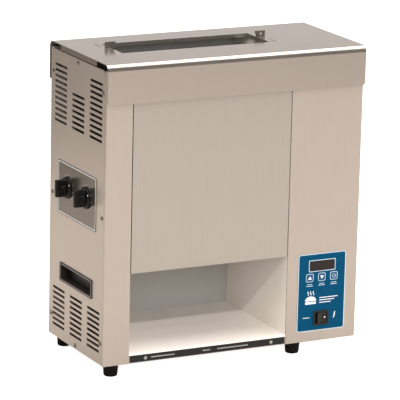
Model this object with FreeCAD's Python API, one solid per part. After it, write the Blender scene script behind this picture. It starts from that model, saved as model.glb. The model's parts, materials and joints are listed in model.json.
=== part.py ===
import FreeCAD, Part
import math
import os

# Countertop vertical contact toaster: an upright stainless cabinet.  Bun halves drop through
# the slot in the lid, pass down both sides of one upright heated plate, pressed on it by two
# belt conveyors, and fall out on the landing floor at the bottom front.
#
# Millimetres, +Z up, the front faces -Y.  Dimensions below are given about the middle of the
# cabinet; export() then shifts everything along X, so that the origin is the centre of the
# bottom of the whole object's box, knobs included.

V = FreeCAD.Vector
X_AXIS, Y_AXIS, Z_AXIS = V(1, 0, 0), V(0, 1, 0), V(0, 0, 1)

# ---- driving dimensions -----------------------------------------------------------------
WIDTH = 560.0            # cabinet, without the lid's flanges and the knobs
DEPTH = 260.0
BODY_HEIGHT = 598.0      # underside of the cabinet to the top of the lid
FOOT_HEIGHT = 25.0
SHEET = 1.5              # stainless sheet
FOLD = 1.2               # outer radius of a sharp fold
CORNER_RETURN = 7.0      # front and rear sheets wrap this far round the ends
PAN_RIM = 18.0

POST_WIDTH = 55.5        # plain strip left of the removable front cover
CONTROL_WIDTH = 158.5    # housing of the controls, right of the front cover
OPENING_TOP = 206.5      # lower edge of the front cover
FLOOR_TOP = 45.0         # landing floor
COVER_GAP = 1.8          # seam at each side of the front cover
COVER_DROP = 6.0         # its top stays clear of the lid's bend while it is lifted
COVER_RETURN = 14.0

LID_GAP = 6.0            # lid flanges stand this far off the front and the back
LID_BEND = 13.0
FLANGE_HEIGHT = 79.0
END_TAB_HALF = 83.0
END_TAB_DROP = 11.0
SLOT_LENGTH = 321.0
SLOT_WIDTH = 97.0
SLOT_HEM = 8.0
SLIT_HALF = 15.0         # half length of the two small slits beside the slot
SLIT_OFFSET = 36.0       # from the plate's mid-plane to the middle of a slit
EAR_HEIGHT = 13.5        # ends of the bun divider above the lid

VENT_PITCH_Y, VENT_LENGTH, VENT_HEIGHT = 82.0, 57.0, 5.6
UPPER_VENTS_Z, UPPER_VENT_PITCH, UPPER_VENT_ROWS = 469.0, 11.15, (11, 7, 11)
LOWER_VENTS_Z, LOWER_VENT_PITCH, LOWER_VENT_ROWS = 50.5, 10.9, 8
POCKET_Z, POCKET_HALF_Y, POCKET_HALF_Z, POCKET_DEPTH = 166.8, 72.0, 16.5, 19.0

SCREW_BORE = 2.1         # holes for the panel screws
SCREW_SHANK = 1.9
SCREW_HEAD = 1.8         # height of a head
SCREW_HEAD_RADIUS = 4.5
FOOT_BORE = 2.7
FOOT_RECESS = 6.0

PLATEN_Y = 13.0          # mid-plane of the heated plate, and of the slot
PLATEN_THICK = 26.0
PLATEN_BOTTOM = 262.0
PLATEN_TOP = 580.0
HEATER_Z = (300.0, 370.0, 440.0, 510.0)
HEATER_RADIUS = 5.0
CLOTH = 0.6              # release sheet

GEAR_MODULE = 2.0
GEAR_TEETH = 21
BELT_OUTER = 24.0
BELT_THICK = 2.0
WHEEL_TEETH = 12
WHEEL_ROOT, WHEEL_TIP = 18.5, 21.2
UPPER_SHAFT_Z = 565.0
LOWER_SHAFT_Z = 270.0
DRIVE_RADIUS = 6.0
IDLER_RADIUS = 5.0
BUSH_RADIUS = 8.0
BUSH_FLANGE = 12.0
TIE_BAR_Z = (380.0, 480.0)
CHEEK_RADIUS = 18.0

KNOB_Y = 44.0
KNOB_Z = 344.0
KNOB_REACH = 27.0        # end panel to the tip of the grip
KNOB_SKIRT_RADIUS = 22.0
GRIP_HALF_Y, GRIP_HALF_Z = 4.4, 17.5
HUB_RADIUS, HUB_REACH = 7.5, 15.0
KNOB_TRAVEL = 270.0      # degrees
CAM_SMALL = 12.0
CAM_RISE = 8.0           # over the whole knob travel
CAM_SHAFT_RADIUS = 4.0
LABEL_THICK = 0.8        # printed plate behind the knobs
LABEL_HALF_Y, LABEL_Z = 89.0, (285.5, 392.5)

CONTROL_X = 200.0        # middle of the control overlay, the display and the power switch
OVERLAY = 0.8            # thickness of the film
OVERLAY_HALF_X, OVERLAY_Z = 54.0, (46.0, 206.6)
DISPLAY_Z = 181.2
DISPLAY_HALF_X, DISPLAY_HALF_Z = 29.0, 10.8
KEY_Z = 157.0
KEY_PITCH = 27.4
KEY_HALF, KEY_HOLE_HALF = 7.0, 7.45
SWITCH_Z = 72.5
SWITCH_HALF_X, SWITCH_HALF_Z = 15.0, 13.0

FAN_X, FAN_Z = 210.0, 330.0
FAN_HALF, FAN_BORE = 40.0, 37.5
GLAND_X, GLAND_Z, GLAND_HOLE, CORD_BORE = 240.0, 75.0, 8.0, 4.5

RUN = 0.06               # radial running clearance of a turning shaft
FIT = 0.03               # radial clearance of a piece fixed on a shaft

# ---- derived places ---------------------------------------------------------------------
BASE_Z = FOOT_HEIGHT
LID_TOP = FOOT_HEIGHT + BODY_HEIGHT
LEFT, RIGHT = -WIDTH / 2, WIDTH / 2
FRONT, BACK = -DEPTH / 2, DEPTH / 2
LEFT_SEAM = LEFT + POST_WIDTH
RIGHT_SEAM = RIGHT - CONTROL_WIDTH
INNER_FRONT, INNER_BACK = FRONT + SHEET, BACK - SHEET
PANEL_TOP = LID_TOP - END_TAB_DROP - 2.0
LID_UNDER = LID_TOP - SHEET

SLOT_MID_X = (LEFT_SEAM + 20.5 + RIGHT_SEAM - 4.5) / 2
SLOT_X = (SLOT_MID_X - SLOT_LENGTH / 2, SLOT_MID_X + SLOT_LENGTH / 2)
SLOT_Y = (PLATEN_Y - SLOT_WIDTH / 2, PLATEN_Y + SLOT_WIDTH / 2)
SLIT_Y = (PLATEN_Y + SLIT_OFFSET, PLATEN_Y - SLIT_OFFSET)

PITCH_RADIUS = GEAR_MODULE * GEAR_TEETH / 2
FRONT_SHAFT_Y = PLATEN_Y - 3 * PITCH_RADIUS
MOTOR_SHAFT_Y = PLATEN_Y - PITCH_RADIUS
IDLER_GEAR_Y = PLATEN_Y + PITCH_RADIUS
REAR_SHAFT_Y = PLATEN_Y + 3 * PITCH_RADIUS
GEAR_X = (RIGHT_SEAM + 6.5, RIGHT_SEAM + 14.5)
GEARBOX_X = (RIGHT_SEAM + 22.0, RIGHT_SEAM + 52.0)
BELT_X = (-200.0, 112.0)
LEFT_CHEEK_X = (-208.0, -206.0)
RIGHT_CHEEK_X = (115.5, 117.5)
PLATEN_X = (-203.0, 113.0)
WHEEL_X = (-180.0, -91.0, -2.0, 87.0)
CAM_X = (LEFT_SEAM - 20.0, LEFT_SEAM - 12.0)
FOLLOWER_GAP = CAM_SMALL + 0.6
KNOB_TIP = LEFT - KNOB_REACH
KEY_X = (CONTROL_X - KEY_PITCH, CONTROL_X, CONTROL_X + KEY_PITCH)

FEET = {
    "foot_front_left": (-254.0, -110.0),
    "foot_front_right": (148.0, -110.0),
    "foot_rear_left": (-254.0, 110.0),
    "foot_rear_right": (148.0, 110.0),
}
END_SCREW_Y = 116.0
END_SCREWS = [(y, z) for z in (69.5, 320.0, 566.0) for y in (-END_SCREW_Y, END_SCREW_Y)]
END_SCREWS += [(0.0, 33.0), (0.0, 603.0)]
REAR_SCREWS = [(x, z) for x in (-262.0, -90.0, 90.0, 262.0) for z in (36.0, 530.0)]
RIVET_X, RIVET_Z, RIVET_RADIUS = (-188.5, 89.0), BASE_Z + 8.5, 1.6


# ---- shape helpers ----------------------------------------------------------------------
def slab(x, y, z):
    """Box between two corners, each axis given as (low, high)."""
    return Part.makeBox(x[1] - x[0], y[1] - y[0], z[1] - z[0], V(x[0], y[0], z[0]))


def around(middle, half):
    return (middle - half, middle + half)


def rod(axis, span, place, radius):
    """Cylinder along an axis; place is the other two coordinates in X, Y, Z order."""
    if axis == "x":
        start, direction = V(span[0], place[0], place[1]), X_AXIS
    elif axis == "y":
        start, direction = V(place[0], span[0], place[1]), Y_AXIS
    else:
        start, direction = V(place[0], place[1], span[0]), Z_AXIS
    return Part.makeCylinder(radius, span[1] - span[0], start, direction)


def joined(pieces):
    """One solid from pieces that share faces or volume."""
    result = pieces[0].fuse(list(pieces[1:])) if len(pieces) > 1 else pieces[0]
    return result.removeSplitter()


def less(shape, cutters):
    return shape.cut(Part.makeCompound(list(cutters)))


def soften(shape, axis, radius, keep=lambda point: True):
    """Round the straight edges along one axis whose middle passes the keep test."""
    edges = []
    for edge in shape.Edges:
        if edge.Curve.TypeId != "Part::GeomLine":
            continue
        direction = edge.tangentAt(edge.FirstParameter)
        along = abs(direction.dot(axis)) > 0.999
        if along and keep(edge.CenterOfMass):
            edges.append(edge)
    return shape.makeFillet(radius, edges)


def prism_x(points, span):
    """Closed outline of (y, z) points, pushed along X."""
    corners = [V(span[0], y, z) for y, z in points]
    face = Part.Face(Part.makePolygon(corners + corners[:1]))
    return face.extrude(V(span[1] - span[0], 0, 0))


def prism_y(points, span):
    """Closed outline of (x, z) points, pushed along Y."""
    corners = [V(x, span[0], z) for x, z in points]
    face = Part.Face(Part.makePolygon(corners + corners[:1]))
    return face.extrude(V(0, span[1] - span[0], 0))


def prism_z(points, span):
    """Closed outline of (x, y) points, pushed along Z."""
    corners = [V(x, y, span[0]) for x, y in points]
    face = Part.Face(Part.makePolygon(corners + corners[:1]))
    return face.extrude(V(0, 0, span[1] - span[0]))


def stadium(span, y, z_low, z_high, radius):
    """Upright slot outline, round at both ends, pushed along X."""
    middle = slab(span, around(y, radius), (z_low, z_high))
    ends = [rod("x", span, (y, z), radius) for z in (z_low, z_high)]
    return joined([middle] + ends)


def mirrored(shape):
    return shape.mirror(V(0, 0, 0), X_AXIS)


# ---- cabinet ----------------------------------------------------------------------------
def base_pan():
    inside_x = (LEFT + SHEET, RIGHT - SHEET)
    inside_y = (INNER_FRONT, INNER_BACK)
    rim_z = BASE_Z + PAN_RIM
    outer = slab(inside_x, inside_y, (BASE_Z, rim_z))
    hollow = slab((inside_x[0] + SHEET, inside_x[1] - SHEET),
                  (inside_y[0] + SHEET, inside_y[1] - SHEET), (BASE_Z + SHEET, rim_z + 1))
    holes = [rod("z", (BASE_Z - 1, BASE_Z + 3), place, FOOT_BORE) for place in FEET.values()]
    holes += [rod("y", (FRONT, FRONT + 5), (x, RIVET_Z), RIVET_RADIUS + FIT) for x in RIVET_X]
    holes += [rod("y", (BACK - 5, BACK), place, SCREW_BORE) for place in REAR_SCREWS if place[1] < rim_z]
    holes += [rod("x", (LEFT, RIGHT), place, SCREW_BORE) for place in END_SCREWS if place[1] < rim_z]
    return less(outer, [hollow] + holes)


def divider(x_span):
    """Upright wall between the toasting bay and a side housing, with the shaft bores."""
    wall = slab(x_span, (INNER_FRONT, INNER_BACK - 0.2), (BASE_Z + PAN_RIM + 0.2, LID_UNDER - 0.4))
    wall = soften(wall, X_AXIS, 8.0, lambda p: p.z > LID_UNDER - 1)      # clears the lid's bend
    bores = [rod("x", (x_span[0] - 1, x_span[1] + 1), (y, UPPER_SHAFT_Z), BUSH_RADIUS + FIT)
             for y in (FRONT_SHAFT_Y, REAR_SHAFT_Y)]
    return less(wall, bores)


def left_divider():
    x_span = (LEFT_SEAM - SHEET, LEFT_SEAM)
    through = (x_span[0] - 1, x_span[1] + 1)
    bores = [rod("x", through, (side * KNOB_Y, KNOB_Z), CAM_SHAFT_RADIUS + RUN)
             for side in (-1, 1)]
    tab_windows = [slab(through, y_span, around(KNOB_Z, 16)) for y_span in ((-36, -14), (15, 36))]
    return less(divider(x_span), bores + tab_windows)


def right_divider():
    x_span = (RIGHT_SEAM, RIGHT_SEAM + SHEET)
    through = (x_span[0] - 1, x_span[1] + 1)
    heater_holes = [rod("x", through, (PLATEN_Y, z), HEATER_RADIUS + 2) for z in HEATER_Z]
    stud = rod("x", (RIGHT_SEAM, GEAR_X[1] + 3), (IDLER_GEAR_Y, UPPER_SHAFT_Z), IDLER_RADIUS)
    return joined([less(divider(x_span), heater_holes), stud])


def left_front_post():
    face = slab((LEFT, LEFT_SEAM), (FRONT, INNER_FRONT), (BASE_Z, PANEL_TOP))
    corner = slab((LEFT, LEFT + SHEET), (FRONT, FRONT + CORNER_RETURN), (BASE_Z, PANEL_TOP))
    return soften(joined([face, corner]), Z_AXIS, FOLD,
                  lambda p: p.x < LEFT + 0.1 and p.y < FRONT + 0.1)


def control_front_panel():
    face = slab((RIGHT_SEAM, RIGHT), (FRONT, INNER_FRONT), (BASE_Z, PANEL_TOP))
    corner = slab((RIGHT - SHEET, RIGHT), (FRONT, FRONT + CORNER_RETURN), (BASE_Z, PANEL_TOP))
    wrapped = soften(joined([face, corner]), Z_AXIS, FOLD,
                     lambda p: p.x > RIGHT - 0.1 and p.y < FRONT + 0.1)
    through = (FRONT - 1, INNER_FRONT + 1)
    window = slab(around(CONTROL_X, DISPLAY_HALF_X - 2.5), through, around(DISPLAY_Z, DISPLAY_HALF_Z - 1.75))
    switch = slab(around(CONTROL_X, SWITCH_HALF_X), through, around(SWITCH_Z, SWITCH_HALF_Z))
    keys = [slab(around(x, KEY_HOLE_HALF), through, around(KEY_Z, KEY_HOLE_HALF)) for x in KEY_X]
    return less(wrapped, [window, switch] + keys)


def vent_slots(plane_x):
    """Punched slots in three columns, a tall field at the top and a short one below."""
    across = (plane_x - 2, plane_x + 2)
    slots = []
    for column, upper_rows in zip((-VENT_PITCH_Y, 0.0, VENT_PITCH_Y), UPPER_VENT_ROWS):
        y_span = around(column, VENT_LENGTH / 2)
        heights = [UPPER_VENTS_Z + UPPER_VENT_PITCH * row for row in range(upper_rows)]
        heights += [LOWER_VENTS_Z + LOWER_VENT_PITCH * row for row in range(LOWER_VENT_ROWS)]
        slots += [slab(across, y_span, around(z, VENT_HEIGHT / 2)) for z in heights]
    return slots


def end_panel():
    """Left end panel without the knob holes; the right one is its mirror image."""
    y_span = around(0, DEPTH / 2 - CORNER_RETURN - 0.5)
    sheet = slab((LEFT, LEFT + SHEET), y_span, (BASE_Z + 0.5, PANEL_TOP - 0.5))
    sheet = soften(sheet, X_AXIS, 12, lambda p: p.z > PANEL_TOP - 5)
    sheet = soften(sheet, X_AXIS, 1.5, lambda p: p.z < BASE_Z + 5)
    handle = slab((LEFT - 2, LEFT + 2), around(0, POCKET_HALF_Y), around(POCKET_Z, POCKET_HALF_Z))
    screws = [rod("x", (LEFT - 2, LEFT + 2), place, SCREW_BORE) for place in END_SCREWS]
    return less(sheet, vent_slots(LEFT) + [handle] + screws)


def left_end_panel():
    knob_holes = [rod("x", (LEFT - 2, LEFT + 2), (side * KNOB_Y, KNOB_Z), CAM_SHAFT_RADIUS + 0.8)
                  for side in (-1, 1)]
    return less(end_panel(), knob_holes)


def rear_panel():
    face = slab((LEFT, RIGHT), (INNER_BACK, BACK), (BASE_Z, PANEL_TOP))
    corners = [slab((LEFT, LEFT + SHEET), (BACK - CORNER_RETURN, BACK), (BASE_Z, PANEL_TOP)),
               slab((RIGHT - SHEET, RIGHT), (BACK - CORNER_RETURN, BACK), (BASE_Z, PANEL_TOP))]
    wrapped = soften(joined([face] + corners), Z_AXIS, FOLD,
                     lambda p: abs(p.x) > RIGHT - 0.1 and p.y > BACK - 0.1)
    through = (INNER_BACK - 1, BACK + 1)
    fan_slots = [slab(around(FAN_X, 32), through, around(FAN_Z + 10 * row, 2.5))
                 for row in range(-3, 4)]
    bay_slots = [slab(around(x, 28), through, around(470 + 11 * row, 2.75))
                 for x in (-150, -51, 48) for row in range(5)]
    gland = rod("y", through, (GLAND_X, GLAND_Z), GLAND_HOLE)
    screws = [rod("y", through, place, SCREW_BORE) for place in REAR_SCREWS]
    return less(wrapped, fan_slots + bay_slots + [gland] + screws)


def landing_floor():
    x_span = (LEFT_SEAM + 0.3, RIGHT_SEAM - 0.3)
    sheet = slab(x_span, (FRONT, INNER_BACK - 0.2), (FLOOR_TOP - SHEET, FLOOR_TOP))
    lip = slab(x_span, (FRONT, FRONT + SHEET - 0.2), (FLOOR_TOP - 4, FLOOR_TOP))
    return soften(joined([sheet, lip]), X_AXIS, 1.0,
                  lambda p: p.y < FRONT + 0.1 and p.z > FLOOR_TOP - 0.1)


def handle_pocket():
    """Black tray with a thin collar; fingers go in it to lift the machine."""
    collar_x = LEFT - 1.5
    collar = slab((collar_x, LEFT), around(0, POCKET_HALF_Y + 4), around(POCKET_Z, POCKET_HALF_Z + 2.5))
    collar = soften(collar, X_AXIS, 2.0)
    tray = slab((collar_x, LEFT + POCKET_DEPTH), around(0, POCKET_HALF_Y - 0.2),
                around(POCKET_Z, POCKET_HALF_Z - 0.2))
    hollow = slab((LEFT - 3, LEFT + POCKET_DEPTH - 2), around(0, POCKET_HALF_Y - 2),
                  around(POCKET_Z, POCKET_HALF_Z - 2))
    return less(joined([collar, tray]), [hollow])


def foot(place):
    """Tapered rubber foot with a countersunk hole for its screw."""
    body = Part.makeCone(13.4, 15.5, FOOT_HEIGHT, V(place[0], place[1], 0), Z_AXIS)
    shank = rod("z", (-1, FOOT_HEIGHT + 1), place, FOOT_BORE)
    recess = rod("z", (-1, 8), place, FOOT_RECESS)
    return less(body, [shank, recess])


def foot_screws():
    screws = []
    for place in FEET.values():
        cap = rod("z", (5, 8), place, FOOT_RECESS - 1)
        shank = rod("z", (8, BASE_Z + 8), place, FOOT_BORE - 0.2)
        nut = rod("z", (BASE_Z + SHEET + 0.05, BASE_Z + SHEET + 4), place, 4.6)
        screws.append(joined([cap, shank, nut]))
    return Part.makeCompound(screws)


def screw_head(origin, outward):
    """Low round-head sheet screw; origin is on the sheet's outer face."""
    dome = 6.2
    head = Part.makeSphere(dome, origin - outward * (dome - SCREW_HEAD))
    keep = Part.makeCylinder(SCREW_HEAD_RADIUS, 4, origin + outward * 0.02, outward)
    shank = Part.makeCylinder(SCREW_SHANK, 8, origin + outward * 0.5, outward * -1)
    long, wide, deep = 4.6, 1.0, 1.2
    arms = [Part.makeBox(long, wide, deep, V(-long / 2, -wide / 2, 0)),
            Part.makeBox(wide, long, deep, V(-wide / 2, -long / 2, 0))]
    cross = Part.makeCompound(arms)
    cross.Placement = FreeCAD.Placement(origin + outward, FreeCAD.Rotation(Z_AXIS, outward))
    return head.common(keep).fuse(shank).cut(cross)


def panel_screws():
    screws = [screw_head(V(LEFT, y, z), X_AXIS * -1) for y, z in END_SCREWS]
    screws += [screw_head(V(RIGHT, y, z), X_AXIS) for y, z in END_SCREWS]
    screws += [screw_head(V(x, BACK, z), Y_AXIS) for x, z in REAR_SCREWS]
    return Part.makeCompound(screws)


# ---- lid, bun divider, front cover -------------------------------------------------------
def lid_profile(inset):
    """Section of the folded lid in (y, z), a channel open downwards, with round bends."""
    reach = DEPTH / 2 + LID_GAP - inset
    top, low = LID_TOP - inset, LID_TOP - FLANGE_HEIGHT
    bend = LID_BEND - inset
    block = slab((LEFT - 1, RIGHT + 1), (-reach, reach), (low - inset, top))
    return soften(block, X_AXIS, bend, lambda p: p.z > top - 0.1)


def top_cover():
    channel = lid_profile(0).cut(lid_profile(SHEET))
    tab_span = (LEFT - 1, LEFT - 1 + SHEET)
    tabs = [slab(tab_span, around(0, END_TAB_HALF), (LID_TOP - END_TAB_DROP, LID_TOP - 0.2))]
    tabs.append(mirrored(tabs[0]))
    slot = slab(SLOT_X, SLOT_Y, (LID_TOP - 20, LID_TOP + 5))
    hem = slab((SLOT_X[0] - 1.2, SLOT_X[1] + 1.2), (SLOT_Y[0] - 1.2, SLOT_Y[1] + 1.2),
               (LID_TOP - SLOT_HEM, LID_TOP - 0.2))
    slit_z = (LID_TOP - 5, LID_TOP + 5)
    slits = [slab(around(SLOT_X[0] - 14, 1.0), around(SLIT_Y[0], SLIT_HALF), slit_z),
             slab(around(SLOT_X[1] + 14, 1.0), around(SLIT_Y[1], SLIT_HALF), slit_z)]
    cover = less(joined([channel, hem] + tabs), [slot] + slits)
    low = LID_TOP - FLANGE_HEIGHT
    return soften(cover, Y_AXIS, 6.0, lambda p: p.z < low + 0.1 and abs(p.x) > RIGHT)


def bun_divider():
    """Lift-out sheet ridge over the heated plate; an ear at each end rests on the lid."""
    ridge_z, hem_z = LID_TOP - 10, PLATEN_TOP + 4
    x_span = (SLOT_X[0] + 4, SLOT_X[1] - 4)
    half = PLATEN_THICK / 2 + 1.5
    thin = 1.2
    outline = [(PLATEN_Y, ridge_z), (PLATEN_Y + half, hem_z), (PLATEN_Y + half - thin, hem_z),
               (PLATEN_Y, ridge_z - 2.5), (PLATEN_Y - half + thin, hem_z), (PLATEN_Y - half, hem_z)]
    ridge = prism_x(outline, x_span)
    ears = []
    for side, edge in ((-1, SLOT_X[0]), (1, SLOT_X[1])):
        outer, inner = edge + side * 15, edge - side * 8
        low, high = LID_TOP + 0.4, LID_TOP + EAR_HEIGHT
        stem, back = edge - side * 4.5, edge - side * 1.0
        points = [(outer, low), (outer, high), (inner, high), (stem, LID_TOP + 4),
                  (stem, ridge_z - 4), (back, ridge_z - 4), (back, low)]
        ear = prism_y(points, around(PLATEN_Y, SHEET / 2))
        hole = rod("y", around(PLATEN_Y, 2), (edge + side * 6, LID_TOP + 7.5), 2.6)
        foot_plate = slab(tuple(sorted((back, edge - side * 5))),
                          around(PLATEN_Y, 6), (ridge_z - 12, ridge_z - 4))
        ears.append(joined([ear.cut(hole), foot_plate]))
    return joined([ridge] + ears)


def front_cover():
    x_span = (LEFT_SEAM + COVER_GAP, RIGHT_SEAM - COVER_GAP)
    z_span = (OPENING_TOP, PANEL_TOP - COVER_DROP)
    return_y = (FRONT, FRONT + COVER_RETURN)
    face = slab(x_span, (FRONT, INNER_FRONT), z_span)
    sides = [slab((x_span[0], x_span[0] + SHEET), return_y, z_span),
             slab((x_span[1] - SHEET, x_span[1]), return_y, z_span)]
    hem = slab(x_span, (FRONT, FRONT + 10), (OPENING_TOP, OPENING_TOP + SHEET))
    cover = joined([face, hem] + sides)
    return soften(cover, X_AXIS, FOLD, lambda p: p.y < FRONT + 0.1 and p.z < OPENING_TOP + 0.1)


# ---- heated plate ------------------------------------------------------------------------
def heated_platen():
    plate = slab(PLATEN_X, around(PLATEN_Y, PLATEN_THICK / 2), (PLATEN_BOTTOM, PLATEN_TOP))
    plate = soften(plate, X_AXIS, 5.0)
    bores = [rod("x", (PLATEN_X[0] + 12, PLATEN_X[1] + 1), (PLATEN_Y, z), HEATER_RADIUS + 0.1)
             for z in HEATER_Z]
    return less(plate, bores)


def platen_heaters():
    rods = [rod("x", (PLATEN_X[0] + 14, RIGHT_SEAM + 16), (PLATEN_Y, z), HEATER_RADIUS)
            for z in HEATER_Z]
    return Part.makeCompound(rods)


def platen_brackets():
    """Angle at each corner of the plate, fixed to the dividers."""
    brackets = []
    for z in (PLATEN_BOTTOM + 20, PLATEN_TOP - 30):
        for near, far in ((LEFT_SEAM, PLATEN_X[0]), (RIGHT_SEAM, PLATEN_X[1])):
            x_span = tuple(sorted((near, far)))
            brackets.append(slab(x_span, around(PLATEN_Y, 7), around(z, 3)))
    return Part.makeCompound(brackets)


def release_sheets():
    sheets = []
    for side in (-1, 1):
        face = PLATEN_Y + side * PLATEN_THICK / 2
        y_span = tuple(sorted((face + side * 0.1, face + side * (0.1 + CLOTH))))
        sheets.append(slab(PLATEN_X, y_span, (PLATEN_BOTTOM - 6, PLATEN_TOP - 2)))
    return Part.makeCompound(sheets)


# ---- conveyors ---------------------------------------------------------------------------
def belt(shaft_y):
    outer = stadium(BELT_X, shaft_y, LOWER_SHAFT_Z, UPPER_SHAFT_Z, BELT_OUTER)
    inner = stadium(BELT_X, shaft_y, LOWER_SHAFT_Z, UPPER_SHAFT_Z, BELT_OUTER - BELT_THICK)
    return outer.cut(inner)


def conveyor_frame(shaft_y, follower_y):
    """Two cheeks and two tie bars; the follower tab reaches through the left divider."""
    pieces = []
    for x_span in (LEFT_CHEEK_X, RIGHT_CHEEK_X):
        cheek = stadium(x_span, shaft_y, LOWER_SHAFT_Z, UPPER_SHAFT_Z, CHEEK_RADIUS)
        bores = [rod("x", (x_span[0] - 1, x_span[1] + 1), (shaft_y, UPPER_SHAFT_Z), DRIVE_RADIUS + RUN),
                 rod("x", (x_span[0] - 1, x_span[1] + 1), (shaft_y, LOWER_SHAFT_Z), IDLER_RADIUS + RUN)]
        pieces.append(less(cheek, bores))
    for z in TIE_BAR_Z:
        pieces.append(rod("x", (LEFT_CHEEK_X[0], RIGHT_CHEEK_X[1]), (shaft_y, z), 4.0))
    z_span = around(KNOB_Z, 10)
    side = math.copysign(1, follower_y - shaft_y)
    tab_y = tuple(sorted((follower_y, follower_y + side * 2.0)))
    arm_y = tuple(sorted((shaft_y + side * 10, follower_y + side * 2.0)))
    pieces.append(slab(LEFT_CHEEK_X, arm_y, z_span))
    pieces.append(slab((CAM_X[0] - 2, LEFT_CHEEK_X[1]), tab_y, z_span))
    return joined(pieces)


def toothed_wheel(x_span, y, z, teeth, root, tip, root_half, tip_half, bore):
    """Spur wheel; each tooth is a trapezoid, its half-widths given at the root and the tip."""
    pieces = [rod("x", x_span, (y, z), root)]
    inside = root - 1.5
    tooth = prism_x([(y + inside, z - root_half), (y + tip, z - tip_half),
                     (y + tip, z + tip_half), (y + inside, z + root_half)], x_span)
    for index in range(teeth):
        turned = tooth.copy()
        turned.rotate(V(0, y, z), X_AXIS, 360.0 * index / teeth)
        pieces.append(turned)
    wheel = joined(pieces)
    return wheel.cut(rod("x", (x_span[0] - 1, x_span[1] + 1), (y, z), bore)) if bore else wheel


def drive_gear(y, bore=DRIVE_RADIUS + FIT):
    root = PITCH_RADIUS - 1.25 * GEAR_MODULE
    tip = PITCH_RADIUS + 0.85 * GEAR_MODULE
    return toothed_wheel(GEAR_X, y, UPPER_SHAFT_Z, GEAR_TEETH, root, tip, 1.75, 0.6, bore)


def belt_wheels(y, z):
    return [toothed_wheel(around(x, 4), y, z, WHEEL_TEETH, WHEEL_ROOT, WHEEL_TIP, 2.6, 1.6, 0)
            for x in WHEEL_X]


def drive_shaft(y):
    shaft = rod("x", (LEFT_SEAM - 8, GEAR_X[1] + 3), (y, UPPER_SHAFT_Z), DRIVE_RADIUS)
    return joined([shaft] + belt_wheels(y, UPPER_SHAFT_Z))


def idler_shaft(y):
    shaft = rod("x", (LEFT_CHEEK_X[0] - 2, RIGHT_CHEEK_X[1] + 1.5), (y, LOWER_SHAFT_Z), IDLER_RADIUS)
    return joined([shaft] + belt_wheels(y, LOWER_SHAFT_Z))


def shaft_bearings():
    """Flanged bush for each drive shaft in each divider."""
    bushes = []
    for y in (FRONT_SHAFT_Y, REAR_SHAFT_Y):
        for inner, outer in ((LEFT_SEAM, LEFT_SEAM - SHEET), (RIGHT_SEAM, RIGHT_SEAM + SHEET)):
            out = math.copysign(1, outer - inner)
            end = outer + out * 2.5
            sleeve = rod("x", tuple(sorted((inner, end))), (y, UPPER_SHAFT_Z), BUSH_RADIUS)
            flange = rod("x", tuple(sorted((outer + out * 0.05, end))), (y, UPPER_SHAFT_Z), BUSH_FLANGE)
            bore = rod("x", (min(inner, outer) - 4, max(inner, outer) + 4),
                       (y, UPPER_SHAFT_Z), DRIVE_RADIUS + RUN)
            bushes.append(joined([sleeve, flange]).cut(bore))
    return Part.makeCompound(bushes)


def motor_gear():
    shaft = rod("x", (GEAR_X[0] - 2, GEARBOX_X[0] + 20), (MOTOR_SHAFT_Y, UPPER_SHAFT_Z), DRIVE_RADIUS)
    return joined([shaft, drive_gear(MOTOR_SHAFT_Y, 0)])


def gearmotor():
    box = slab(GEARBOX_X, around(MOTOR_SHAFT_Y, 30), around(UPPER_SHAFT_Z, 28))
    box = soften(box, X_AXIS, 6.0)
    can = rod("x", (GEARBOX_X[1], GEARBOX_X[1] + 62), (MOTOR_SHAFT_Y, UPPER_SHAFT_Z - 4), 24.0)
    legs = [rod("x", (RIGHT_SEAM + SHEET, GEARBOX_X[0] + 2), (MOTOR_SHAFT_Y + y, UPPER_SHAFT_Z + z), 3.5)
            for y in (-24, 24) for z in (-23, 23)]
    bore = rod("x", (GEARBOX_X[0] - 1, GEARBOX_X[0] + 22), (MOTOR_SHAFT_Y, UPPER_SHAFT_Z), DRIVE_RADIUS + RUN)
    return joined([box, can] + legs).cut(bore)


# ---- compression knobs -------------------------------------------------------------------
def compression_knob(y):
    """Round skirt, a flat bar to grip, and a hub with a blind bore for the cam shaft."""
    under = LEFT - 4.5
    skirt = rod("x", (LEFT - 5.0, LEFT - 1.4), (y, KNOB_Z), KNOB_SKIRT_RADIUS)
    grip = slab((KNOB_TIP, under), around(y, GRIP_HALF_Y), around(KNOB_Z, GRIP_HALF_Z))
    grip = soften(grip, X_AXIS, 2.5)
    grip = soften(grip, Y_AXIS, 1.2, lambda p: p.x < KNOB_TIP + 0.1)
    hub = rod("x", (LEFT - HUB_REACH, under), (y, KNOB_Z), HUB_RADIUS)
    bore = rod("x", (LEFT - HUB_REACH + 2, LEFT), (y, KNOB_Z), CAM_SHAFT_RADIUS + FIT)
    return joined([skirt, grip, hub]).cut(bore)


def cam_shaft(y, contact_angle):
    """Shaft with a spiral cam; the radius facing the follower grows as the knob turns."""
    shaft = rod("x", (LEFT - HUB_REACH + 3, LEFT_SEAM + 2), (y, KNOB_Z), CAM_SHAFT_RADIUS)
    points = []
    steps = 54
    for step in range(steps + 1):
        turn = KNOB_TRAVEL * step / steps
        radius = CAM_SMALL + CAM_RISE * step / steps
        angle = math.radians(contact_angle - turn)
        points.append((y + radius * math.cos(angle), KNOB_Z + radius * math.sin(angle)))
    for turn in (-50.0, -25.0):
        angle = math.radians(contact_angle - turn)
        points.append((y + CAM_SMALL * math.cos(angle), KNOB_Z + CAM_SMALL * math.sin(angle)))
    cam = prism_x(points, CAM_X)
    bore = rod("x", (CAM_X[0] - 1, CAM_X[1] + 1), (y, KNOB_Z), CAM_SHAFT_RADIUS + FIT)
    return Part.makeCompound([shaft, cam.cut(bore)])


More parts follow.
